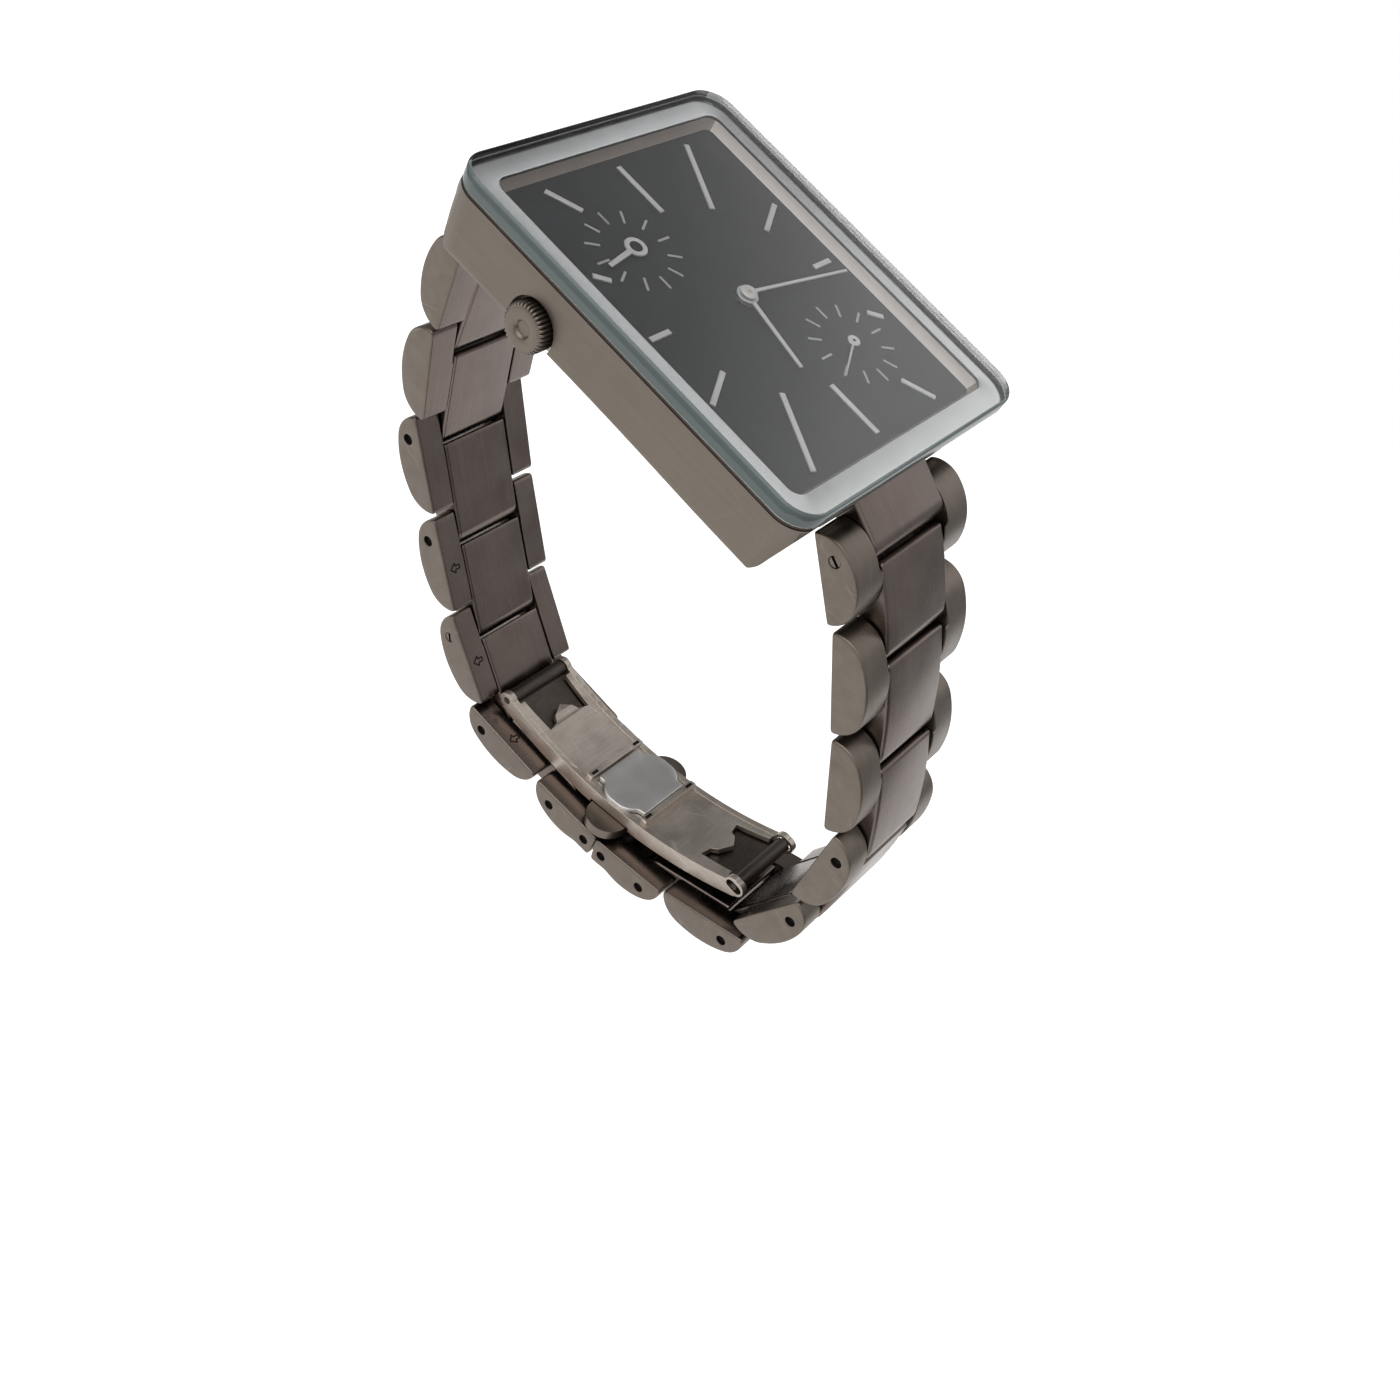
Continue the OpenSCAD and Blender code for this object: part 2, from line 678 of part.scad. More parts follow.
module pusher_far() { pusher(1); }
module pusher_spring() {
  color([0.7, 0.7, 0.7])
  on_bow(mid_a) translate([-1.55, 0, spring_r]) rotate([0, 90, 0]) difference() {
    cylinder(r = 0.5, h = 3.1);
    translate([0, 0, -1]) cylinder(r = 0.3, h = 7);
  }
}

case_body();
case_back();
case_back_screws();
case_back_gasket();
crystal();
dial_ring();
dial();
dial_batons();
dial_marks();
movement();
battery();
hour_hand();
minute_hand();
second_zone_hand();
small_seconds_hand();
setting_lever();
stem();
crown();
crown_tube();
spring_bars();
end_link(1);  // end_link_12
end_link(-1);  // end_link_6
side_links(1, 0);  // side_links_12_1
centre_link(1, 0);  // centre_link_12_1
side_links(1, 1);  // side_links_12_2
centre_link(1, 1);  // centre_link_12_2
side_links(1, 2);  // side_links_12_3
centre_link(1, 2);  // centre_link_12_3
side_links(1, 3);  // side_links_12_4
centre_link(1, 3);  // centre_link_12_4
side_links(1, 4);  // side_links_12_5
centre_link(1, 4);  // centre_link_12_5
side_links(1, 5);  // side_links_12_6
centre_link(1, 5);  // centre_link_12_6
side_links(1, 6);  // side_links_12_7
centre_link(1, 6);  // centre_link_12_7
side_links(1, 7);  // side_links_12_8
centre_link(1, 7);  // centre_link_12_8
side_links(-1, 0);  // side_links_6_1
centre_link(-1, 0);  // centre_link_6_1
side_links(-1, 1);  // side_links_6_2
centre_link(-1, 1);  // centre_link_6_2
side_links(-1, 2);  // side_links_6_3
centre_link(-1, 2);  // centre_link_6_3
side_links(-1, 3);  // side_links_6_4
centre_link(-1, 3);  // centre_link_6_4
side_links(-1, 4);  // side_links_6_5
centre_link(-1, 4);  // centre_link_6_5
side_links(-1, 5);  // side_links_6_6
centre_link(-1, 5);  // centre_link_6_6
side_links(-1, 6);  // side_links_6_7
centre_link(-1, 6);  // centre_link_6_7
clasp_bow();
clasp_blade_12();
clasp_blade_6();
lock_block();
clasp_cover();
pusher_near();
pusher_far();
pusher_spring();
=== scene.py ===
import json
import math

import bmesh
import bpy
import numpy as np
from mathutils import Matrix, Vector


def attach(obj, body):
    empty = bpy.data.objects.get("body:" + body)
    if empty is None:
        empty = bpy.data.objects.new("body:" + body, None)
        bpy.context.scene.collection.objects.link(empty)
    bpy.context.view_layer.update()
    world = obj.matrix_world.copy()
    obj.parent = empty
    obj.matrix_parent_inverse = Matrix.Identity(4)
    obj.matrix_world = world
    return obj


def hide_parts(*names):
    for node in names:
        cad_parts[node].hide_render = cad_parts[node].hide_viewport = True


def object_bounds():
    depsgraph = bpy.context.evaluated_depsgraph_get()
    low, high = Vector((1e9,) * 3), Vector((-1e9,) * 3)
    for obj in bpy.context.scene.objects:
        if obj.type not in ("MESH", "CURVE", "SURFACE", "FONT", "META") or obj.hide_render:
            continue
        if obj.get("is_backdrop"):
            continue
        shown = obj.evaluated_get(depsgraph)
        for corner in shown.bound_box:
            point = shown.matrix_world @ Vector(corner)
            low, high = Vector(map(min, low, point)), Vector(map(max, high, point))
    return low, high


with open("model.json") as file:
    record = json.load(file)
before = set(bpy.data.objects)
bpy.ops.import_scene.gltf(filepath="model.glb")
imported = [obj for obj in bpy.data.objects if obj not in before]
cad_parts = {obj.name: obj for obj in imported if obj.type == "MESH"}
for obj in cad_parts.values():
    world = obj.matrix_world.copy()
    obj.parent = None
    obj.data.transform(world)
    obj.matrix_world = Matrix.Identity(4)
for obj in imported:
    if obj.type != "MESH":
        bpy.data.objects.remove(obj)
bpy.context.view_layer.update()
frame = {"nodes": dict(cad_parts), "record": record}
mm = 0.001


def newObject(name, data):
    made = bpy.data.objects.new(name, data)
    bpy.context.scene.collection.objects.link(made)
    return made


# Camera as the photograph was taken, in the frame of the watch
camera = {
    "place": (-0.09702, -0.038676, 0.078904),
    "right": (0.614445, -0.670568, 0.415687),
    "down": (-0.437282, -0.728001, -0.528014),
    "forward": (0.65669, 0.142663, -0.740544),
    "lens": 39.04,
    "sensor": 36.0,
    "clip": (0.005, 20.0),
}


def placeCamera(c):
    data = bpy.data.cameras.new("photoView")
    data.sensor_width = c["sensor"]
    data.sensor_fit = "HORIZONTAL"
    data.lens = c["lens"]
    data.clip_start, data.clip_end = c["clip"]
    view = newObject("photoView", data)
    right, up, back = Vector(c["right"]), -Vector(c["down"]), -Vector(c["forward"])
    turn = Matrix((right, up, back)).transposed()
    view.matrix_world = Matrix.Translation(c["place"]) @ turn.to_4x4()
    bpy.context.scene.camera = view


placeCamera(camera)
print("camera placed")


# Node groups

def newGroup(name, inputs, outputs):
    group = bpy.data.node_groups.new(name, "ShaderNodeTree")
    for label, kind, value in inputs:
        socket = group.interface.new_socket(label, in_out="INPUT", socket_type=kind)
        if value is not None:
            socket.default_value = value
    for label, kind in outputs:
        group.interface.new_socket(label, in_out="OUTPUT", socket_type=kind)
    return group, group.nodes.new("NodeGroupInput"), group.nodes.new("NodeGroupOutput")


def feed(tree, socket, value):
    # a socket takes a plain value, or a link from another socket
    if isinstance(value, bpy.types.NodeSocket):
        tree.links.new(value, socket)
    else:
        socket.default_value = value


def addNode(tree, kind, **values):
    # sets properties and sockets by name, with _ for the blanks in a socket's name
    node = tree.nodes.new(kind)
    for label, value in values.items():
        if hasattr(node, label):
            setattr(node, label, value)
        else:
            feed(tree, node.inputs[label.replace("_", " ")], value)
    return node


def math2(tree, operation, a, b):
    node = addNode(tree, "ShaderNodeMath", operation=operation)
    feed(tree, node.inputs[0], a)
    feed(tree, node.inputs[1], b)
    return node.outputs[0]


def ramp(tree, value, low, high, start=0.0, end=1.0):
    node = addNode(tree, "ShaderNodeMapRange", Value=value, From_Min=low, From_Max=high, To_Min=start,
                   To_Max=end)
    return node.outputs[0]


grainLook = {"fine": 14000.0, "cloud": 260.0, "toneRange": (0.3, 0.7), "cloudRange": (0.32, 0.68)}


def grainGroup(c):
    # brush lines from noise squeezed on one axis, a finer grain and slow cloudiness
    group, given, out = newGroup(
        "brushedGrain",
        [("Vector", "NodeSocketVector", None), ("Lines", "NodeSocketFloat", 0.5),
         ("Grain", "NodeSocketFloat", 0.5)],
        [("Height", "NodeSocketFloat"), ("Tone", "NodeSocketFloat"), ("Cloud", "NodeSocketFloat")],
    )
    lines = addNode(group, "ShaderNodeTexNoise", Vector=given.outputs["Vector"], Scale=1.0, Detail=3.0,
                    Roughness=0.6)
    where = group.nodes.new("ShaderNodeTexCoord").outputs["Object"]
    grain = addNode(group, "ShaderNodeTexNoise", Vector=where, Scale=c["fine"], Detail=2.0, Roughness=0.6)
    cloud = addNode(group, "ShaderNodeTexNoise", Vector=where, Scale=c["cloud"], Detail=4.0, Roughness=0.55)
    a = math2(group, "MULTIPLY", lines.outputs["Fac"], given.outputs["Lines"])
    b = math2(group, "MULTIPLY", grain.outputs["Fac"], given.outputs["Grain"])
    group.links.new(math2(group, "ADD", a, b), out.inputs["Height"])
    group.links.new(ramp(group, lines.outputs["Fac"], *c["toneRange"]), out.inputs["Tone"])
    group.links.new(ramp(group, cloud.outputs["Fac"], *c["cloudRange"]), out.inputs["Cloud"])
    return group


wearLook = {"cells": [((0.4, 0.9, 0.3), 420.0), ((1.3, 0.2, 1.9), 610.0)], "stretch": (1.0, 0.12, 0.5),
            "line": 0.012, "breaks": 300.0, "breakRange": (0.5, 0.66), "smudge": 150.0,
            "smudgeRange": (0.45, 0.7)}


def wearGroup(c):
    # hairline scratches at the edges of stretched cells, and smudges where a soft noise passes a limit
    group, given, out = newGroup(
        "handWear",
        [("Scratches", "NodeSocketFloat", 0.5), ("Smudges", "NodeSocketFloat", 0.5)],
        [("Scratch", "NodeSocketFloat"), ("Smudge", "NodeSocketFloat")],
    )
    where = group.nodes.new("ShaderNodeTexCoord").outputs["Object"]
    parts = []
    for turn, size in c["cells"]:
        turned = addNode(group, "ShaderNodeMapping", Vector=where, Rotation=turn, Scale=c["stretch"])
        cells = addNode(group, "ShaderNodeTexVoronoi", feature="DISTANCE_TO_EDGE", Vector=turned.outputs[0],
                        Scale=size)
        parts.append(ramp(group, cells.outputs["Distance"], 0.0, c["line"], 1.0, 0.0))
    broken = addNode(group, "ShaderNodeTexNoise", Vector=where, Scale=c["breaks"], Detail=2.0)
    both = math2(group, "MAXIMUM", parts[0], parts[1])
    some = math2(group, "MULTIPLY", both, ramp(group, broken.outputs["Fac"], *c["breakRange"]))
    group.links.new(math2(group, "MULTIPLY", some, given.outputs["Scratches"]), out.inputs["Scratch"])
    smudge = addNode(group, "ShaderNodeTexNoise", Vector=where, Scale=c["smudge"], Detail=5.0,
                     Roughness=0.65)
    dull = ramp(group, smudge.outputs["Fac"], *c["smudgeRange"])
    group.links.new(math2(group, "MULTIPLY", dull, given.outputs["Smudges"]), out.inputs["Smudge"])
    return group


brushedGrain = grainGroup(grainLook)
handWear = wearGroup(wearLook)


def mixColor(tree, factor, a, b):
    node = addNode(tree, "ShaderNodeMix", data_type="RGBA")
    sockets = {s.identifier: s for s in node.inputs}
    for key, value in (("Factor_Float", factor), ("A_Color", a), ("B_Color", b)):
        feed(tree, sockets[key], (*value, 1.0) if isinstance(value, tuple) else value)
    return next(s for s in node.outputs if s.identifier == "Result_Color")


def newFinish(name, **values):
    # a material and its shader, with plain values set on the shader's sockets
    material = bpy.data.materials.new(name)
    material.use_nodes = True
    shader = material.node_tree.nodes["Principled BSDF"]
    for label, value in values.items():
        shader.inputs[label.replace("_", " ")].default_value = value
    return material, material.node_tree, shader


def surface(tree, shader, grain, rough, bump, distance):
    # joins the roughness and, where there is one, the bump of the grain
    tree.links.new(rough, shader.inputs["Roughness"])
    if bump:
        node = addNode(tree, "ShaderNodeBump", Strength=bump, Distance=distance,
                       Height=grain.outputs["Height"])
        tree.links.new(node.outputs["Normal"], shader.inputs["Normal"])


metalDefaults = {"brush": (3000, 3000, 3000), "lines": 0.5, "grain": 0.6, "bump": 0.25, "scratches": 0.35,
                 "smudges": 0.5, "metallic": 1.0, "toneShare": 0.45, "cloudShare": 0.55, "dulling": 0.12,
                 "depth": 0.00002}
plainDepth = 0.00001


def metalFinish(name, deep, light, bright, roughness, **extra):
    # colour runs from deep to light with grain and cloud, wear brightens lines and dulls patches
    look = {**metalDefaults, **extra}
    material, tree, shader = newFinish(name, Metallic=look["metallic"])
    where = tree.nodes.new("ShaderNodeTexCoord").outputs["Object"]
    stretch = addNode(tree, "ShaderNodeMapping", Vector=where, Scale=look["brush"])
    grain = addNode(tree, "ShaderNodeGroup", node_tree=brushedGrain, Vector=stretch.outputs[0],
                    Lines=look["lines"], Grain=look["grain"])
    wear = addNode(tree, "ShaderNodeGroup", node_tree=handWear, Scratches=look["scratches"],
                   Smudges=look["smudges"])
    tone = math2(tree, "MULTIPLY", grain.outputs["Tone"], look["toneShare"])
    cloud = math2(tree, "MULTIPLY", grain.outputs["Cloud"], look["cloudShare"])
    base = mixColor(tree, math2(tree, "ADD", tone, cloud), deep, light)
    tree.links.new(mixColor(tree, wear.outputs["Scratch"], base, bright), shader.inputs["Base Color"])
    rough = ramp(tree, grain.outputs["Cloud"], 0.0, 1.0, *roughness)
    dull = math2(tree, "MULTIPLY", wear.outputs["Smudge"], look["dulling"])
    surface(tree, shader, grain, math2(tree, "ADD", rough, dull), look["bump"], look["depth"])
    return material


def plainFinish(name, deep, light, roughness, bump=0.0, specular=0.5):
    # paint, rubber and printed marks: a slow change of tone and, where asked, a fine surface grain
    material, tree, shader = newFinish(name, Metallic=0.0, Specular_IOR_Level=specular)
    grain = addNode(tree, "ShaderNodeGroup", node_tree=brushedGrain, Lines=0.0, Grain=1.0)
    tree.links.new(mixColor(tree, grain.outputs["Cloud"], deep, light), shader.inputs["Base Color"])
    surface(tree, shader, grain, ramp(tree, grain.outputs["Cloud"], 0.0, 1.0, *roughness), bump, plainDepth)
    return material


def glassFinish(name, colour, through, roughness=0.03, bend=1.5):
    # plain values only: a tint, and how much of the light goes through
    return newFinish(name, Transmission_Weight=through, IOR=bend, Roughness=roughness,
                     Base_Color=(*colour, 1.0))[0]


caseSatin = metalFinish(
    "caseSatin", (0.176, 0.150, 0.126), (0.210, 0.181, 0.153), (0.30, 0.27, 0.235), (0.36, 0.44),
    brush=(90, 90, 5000), lines=0.3, bump=0.12, scratches=0.15)
linkSatin = metalFinish(
    "linkSatin", (0.150, 0.126, 0.106), (0.206, 0.176, 0.150), (0.33, 0.30, 0.265), (0.32, 0.44),
    brush=(4000, 700, 700), bump=0.15)
# brushed link steel; its darker colour is partly painted shade, on the centre and end links and on the side
# links' faces towards the wrist
linkBrushedShaded = metalFinish(
    "linkBrushedShaded", (0.135, 0.107, 0.095), (0.196, 0.160, 0.143), (0.31, 0.27, 0.24), (0.20, 0.30),
    brush=(9000, 90, 90), lines=0.8, bump=0.2, scratches=0.25)
claspWorn = metalFinish(
    "claspWorn", (0.40, 0.345, 0.30), (0.60, 0.54, 0.48), (0.78, 0.73, 0.68), (0.28, 0.42),
    brush=(500, 5000, 5000), bump=0.15, scratches=0.8, smudges=0.9)
# dark steel for the clasp blades and the border's underside: painted shade, darker than plain steel where
# they lie under other parts
shadedBladeSteel = metalFinish(
    "shadedBladeSteel", (0.060, 0.048, 0.042), (0.115, 0.098, 0.086), (0.22, 0.19, 0.17), (0.34, 0.5),
    brush=(500, 5000, 5000), bump=0.2)
plateSteel = metalFinish(
    "plateSteel", (0.56, 0.55, 0.54), (0.62, 0.61, 0.60), (0.74, 0.73, 0.72), (0.34, 0.42),
    brush=(200, 6000, 6000), bump=0.05, smudges=0.2)
plainSteel = metalFinish(
    "plainSteel", (0.36, 0.34, 0.32), (0.48, 0.46, 0.43), (0.65, 0.63, 0.6), (0.22, 0.32), bump=0.1)
backSteel = metalFinish(
    "backSteel", (0.36, 0.335, 0.31), (0.42, 0.395, 0.37), (0.55, 0.52, 0.49), (0.26, 0.32),
    brush=(60, 6000, 60), lines=0.8, bump=0.1, scratches=0.25, smudges=0.15)
movementMetal = metalFinish(
    "movementMetal", (0.45, 0.40, 0.30), (0.58, 0.53, 0.42), (0.7, 0.66, 0.56), (0.3, 0.42),
    brush=(200, 5000, 200))
batterySteel = metalFinish(
    "batterySteel", (0.55, 0.55, 0.55), (0.66, 0.66, 0.66), (0.8, 0.8, 0.8), (0.16, 0.26), bump=0.05)
even = {"grain": 0.0, "bump": 0.0, "scratches": 0.0}
borderSilver = metalFinish(
    "borderSilver", (0.55, 0.555, 0.56), (0.63, 0.635, 0.64), (0.7, 0.7, 0.7), (0.18, 0.24),
    brush=(80, 80, 80), lines=0.1, smudges=0.3, **even)
wallBronze = metalFinish(
    "wallBronze", (0.36, 0.30, 0.262), (0.44, 0.375, 0.33), (0.55, 0.48, 0.43), (0.42, 0.52),
    metallic=0.55, **even)
# a pale copy of the wall's metal, painted light for the wall at 3 o'clock
litWall = metalFinish(
    "litWall", (0.86, 0.79, 0.73), (0.92, 0.85, 0.79), (0.95, 0.9, 0.85), (0.42, 0.52),
    metallic=0.3, **even)
handSilver = metalFinish(
    "handSilver", (0.60, 0.595, 0.59), (0.68, 0.675, 0.67), (0.75, 0.75, 0.75), (0.45, 0.55),
    metallic=0.6, **even)
dialCharcoal = plainFinish(
    "dialCharcoal", (0.015, 0.0155, 0.018), (0.022, 0.023, 0.026), (0.5, 0.6), specular=0.15)
markGrey = plainFinish("markGrey", (0.36, 0.36, 0.36), (0.42, 0.42, 0.42), (0.5, 0.6))
# near black: painted shade in pin holes, slits, the border's seam, the eyes of hands and engraved arrow
# lines
shadeBlack = plainFinish("shadeBlack", (0.006, 0.005, 0.004), (0.012, 0.010, 0.009), (0.6, 0.8), specular=0.1)
sealRubber = plainFinish("sealRubber", (0.018, 0.018, 0.018), (0.03, 0.03, 0.03), (0.6, 0.75), bump=0.3)
clearGlass = glassFinish("clearGlass", (0.985, 0.99, 0.99), 1.0, roughness=0.0, bend=1.45)
edgeGlass = glassFinish("edgeGlass", (0.17, 0.215, 0.21), 0.4)
# pale and dark copies of the edge glass: painted light and painted shade along the glass edge
litEdgeGlass = glassFinish("litEdgeGlass", (0.32, 0.31, 0.30), 0.3)
shadeEdgeGlass = glassFinish("shadeEdgeGlass", (0.035, 0.031, 0.028), 0.1, roughness=0.05)
print("materials made")


# Meshes from arrays

meshRules = {"merge": 2e-7, "flatWithin": 0.6, "bevelFrom": 38, "bevelSteps": 2, "flatWeight": 90,
             "solidSmooth": 35.0}


def gridFaces(rows, cols):
    # quads between neighbouring rows of a closed ring, numbered row by row
    r, c = np.meshgrid(np.arange(rows - 1), np.arange(cols), indexing="ij")
    n = (c + 1) % cols
    quads = np.stack([r * cols + c, r * cols + n, (r + 1) * cols + n, (r + 1) * cols + c], axis=-1)
    return quads.reshape(-1, 4).tolist()


def ringShell(rings, capFirst=True, capLast=True):
    # a stack of rings of equal count, ends closed with flat caps
    rings = np.asarray(rings, float)
    rows, cols = rings.shape[:2]
    faces = gridFaces(rows, cols)
    if capFirst:
        faces.append(list(range(cols))[::-1])
    if capLast:
        faces.append([(rows - 1) * cols + i for i in range(cols)])
    return rings.reshape(-1, 3), faces


def merged(mesh, outwards=False, joinFlat=False):
    # doubles merged, and where asked the faces turned outwards or the flat ones joined
    work = bmesh.new()
    work.from_mesh(mesh)
    bmesh.ops.remove_doubles(work, verts=work.verts, dist=meshRules["merge"])
    if outwards:
        bmesh.ops.recalc_face_normals(work, faces=work.faces)
    if joinFlat:
        limit = math.radians(meshRules["flatWithin"])
        bmesh.ops.dissolve_limit(work, angle_limit=limit, verts=work.verts, edges=work.edges)
    work.to_mesh(mesh)
    work.free()


def buildPiece(name, shells, materials, smoothAngle=32.0, faceSlots=None):
    # shells in millimetres, joined into one mesh, doubles merged and faces turned outwards
    verts, faces, slots, count = [], [], [], 0
    for i, (v, f) in enumerate(shells):
        verts.append(v)
        faces.extend([[k + count for k in face] for face in f])
        slots.extend([faceSlots[i] if faceSlots else 0] * len(f))
        count += len(v)
    mesh = bpy.data.meshes.new(name)
    mesh.from_pydata((np.concatenate(verts) * mm).tolist(), [], faces)
    for m in materials:
        mesh.materials.append(m)
    mesh.polygons.foreach_set("material_index", slots)
    merged(mesh, outwards=True)
    return finishPiece(name, mesh, smoothAngle)


def finishPiece(name, mesh, smoothAngle, bevel=None):
    # smooth faces between sharp edges, and where asked narrow rounded edges beside flat walls
    mesh.polygons.foreach_set("use_smooth", [True] * len(mesh.polygons))
    mesh.set_sharp_from_angle(angle=math.radians(smoothAngle))
    piece = newObject(name, mesh)
    if bevel:
        edge = piece.modifiers.new("edges", "BEVEL")
        edge.limit_method = "ANGLE"
        edge.angle_limit = math.radians(meshRules["bevelFrom"])
        edge.width = bevel * mm
        edge.segments = meshRules["bevelSteps"]
        edge.use_clamp_overlap = True
        edge.harden_normals = True
        level = piece.modifiers.new("flatWalls", "WEIGHTED_NORMAL")
        level.keep_sharp = True
        level.weight = meshRules["flatWeight"]
    return piece


def softened(name, node, material, width, joinFlat=True):
    # the solid's mesh, merged, flat faces joined where asked, sharp edges rounded
    mesh = frame["nodes"][node].data.copy()
    mesh.name = name
    mesh.materials.clear()
    mesh.materials.append(material)
    mesh.polygons.foreach_set("material_index", [0] * len(mesh.polygons))
    merged(mesh, joinFlat=joinFlat)
    return finishPiece(name, mesh, meshRules["solidSmooth"], width)


def setUp(piece, node, body):
    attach(piece, body)
    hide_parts(node)


def dress(node, material):
    # the solid itself with one material
    mesh = frame["nodes"][node].data
    mesh.materials.clear()
    mesh.materials.append(material)


def arcPoints(cx, cy, radius, a0, a1, n):
    # n points from angle a0 to a1, both in degrees
    a = np.radians(np.linspace(a0, a1, n))
    return np.stack([cx + radius * np.cos(a), cy + radius * np.sin(a)], axis=1)


def evenRing(points, n, soften):
    # the outline walked at equal steps, then averaged with its neighbours to round its corners
    p = np.asarray(points, float)
    closed = np.vstack([p, p[:1]])
    along = np.concatenate([[0], np.cumsum(np.linalg.norm(np.diff(closed, axis=0), axis=1))])
    s = np.linspace(0, along[-1], n, endpoint=False)
    ring = np.stack([np.interp(s, along, closed[:, 0]), np.interp(s, along, closed[:, 1])], axis=1)
    for _ in range(soften):
        ring = 0.25 * np.roll(ring, 1, 0) + 0.5 * ring + 0.25 * np.roll(ring, -1, 0)
    return ring


def inwards(ring):
    # unit normals of a closed outline, pointing to its inside
    step = np.roll(ring, -1, 0) - np.roll(ring, 1, 0)
    side = np.stack([-step[:, 1], step[:, 0]], axis=1)
    side /= np.linalg.norm(side, axis=1, keepdims=True)
    area = np.sum(ring[:, 0] * np.roll(ring[:, 1], -1) - np.roll(ring[:, 0], -1) * ring[:, 1])
    return side if area > 0 else -side


def roundedBox(w, l, r):
    # rectangle outline with arcs of radius r at its corners, anticlockwise
    parts = [arcPoints(x * (w / 2 - r), y * (l / 2 - r), r, a, a + 90, 16)
             for x, y, a in ((1, 1, 0), (-1, 1, 90), (-1, -1, 180), (1, -1, 270))]
    return np.concatenate(parts)


def flat(ring, z):
    return np.column_stack([ring, np.full(len(ring), z)])


def circlePoints(cx, cy, radius, n):
    return arcPoints(cx, cy, radius, 0, 360, n + 1)[:-1]


def turned(profile, centre, n):
    # a profile of radius and height turned about an upright axis through the centre
    p = np.asarray(profile, float)
    a = np.linspace(0, 2 * np.pi, n, endpoint=False)
    x = p[:, :1] * np.cos(a)
    y = p[:, :1] * np.sin(a)
    z = np.repeat(p[:, 1:], n, axis=1)
    return np.stack([x, y, z], axis=-1) + np.asarray(centre, float)


# Case and glass

case = {"width": 32.0, "length": 39.0, "corner": 2.8, "edge": 0.05, "low": 0.9, "rim": 0.45, "rimTop": 8.0,
        "rimMargin": 0.02}


def roundLowerRim(piece, c):
    # keeps what lies inside a block whose walls turn in by a quarter circle at the bottom
    r, margin = c["rim"], c["rimMargin"]
    outline = roundedBox(c["width"] + 2 * margin, c["length"] + 2 * margin, c["corner"] + margin)
    into = inwards(outline)
    rings = [flat(outline, c["rimTop"])]
    for turn in np.linspace(0, np.pi / 2, 7):
        inset = r * (1 - math.cos(turn))
        rings.append(flat(outline + into * inset, c["low"] - margin + r * (1 - math.sin(turn))))
    block = buildPiece("rimBlock", [ringShell(rings)], [caseSatin])
    cut = piece.modifiers.new("rim", "BOOLEAN")
    cut.operation = "INTERSECT"
    cut.object = block
    cut.solver = "EXACT"
    piece.modifiers.move(len(piece.modifiers) - 1, 0)
    shape = bpy.data.meshes.new_from_object(piece.evaluated_get(bpy.context.evaluated_depsgraph_get()))
    piece.modifiers.clear()
    piece.data = shape
    bpy.data.objects.remove(block)


body = softened("caseBody", "case_body", caseSatin, case["edge"])
roundLowerRim(body, case)
setUp(body, "case_body", "case")

glass = {"low": 7.11, "top": 8.6, "chamfer": 0.24, "lowChamfer": 0.12, "paintedLightBand": 0.6}


def glassPiece(c, g):
    # rings of the outline: lower chamfer, polished edge, top chamfer, flat top
    ring = roundedBox(c["width"], c["length"], c["corner"])
    into = inwards(ring)
    low, top, small, cut = g["low"], g["top"], g["lowChamfer"], g["chamfer"]
    steps = [(small, low), (0.0, low + small), (0.0, top - cut), (0.3 * cut, top - 0.45 * cut), (cut, top)]
    rings = [flat(ring + into * d, z) for d, z in steps]
    edge = ringShell(rings, False, False)
    bottom = (rings[0], [list(range(len(ring)))[::-1]])
    cover = (rings[-1], [list(range(len(ring)))])
    piece = buildPiece("glass", [bottom, edge, cover], [clearGlass, edgeGlass, litEdgeGlass, shadeEdgeGlass],
                       faceSlots=[0, 1, 0])
    # painted shade darkens the edge at 12, painted light makes it pale at 3 with a painted dark line of
    # shade along its top, and elsewhere it is grey green
    for face in piece.data.polygons:
        x, y, z = face.center / mm
        if face.material_index == 0:
            continue
        if y > c["length"] / 2 - g["paintedLightBand"]:
            face.material_index = 3
        elif x > c["width"] / 2 - g["paintedLightBand"]:
            face.material_index = 3 if z > top - cut else 2
    return piece


setUp(glassPiece(case, glass), "crystal", "case")

border = {"inset": 0.1, "width": 27.4, "length": 34.1, "corner": 1.2, "seatMargin": 0.4, "seatCorner": 1.55,
          "foot": 5.96, "seam": 6.8, "lip": 7.0, "lipMiddle": 7.08, "flange": 7.09, "top": 7.1,
          "wallLean": 0.5, "litWallBand": 0.4}


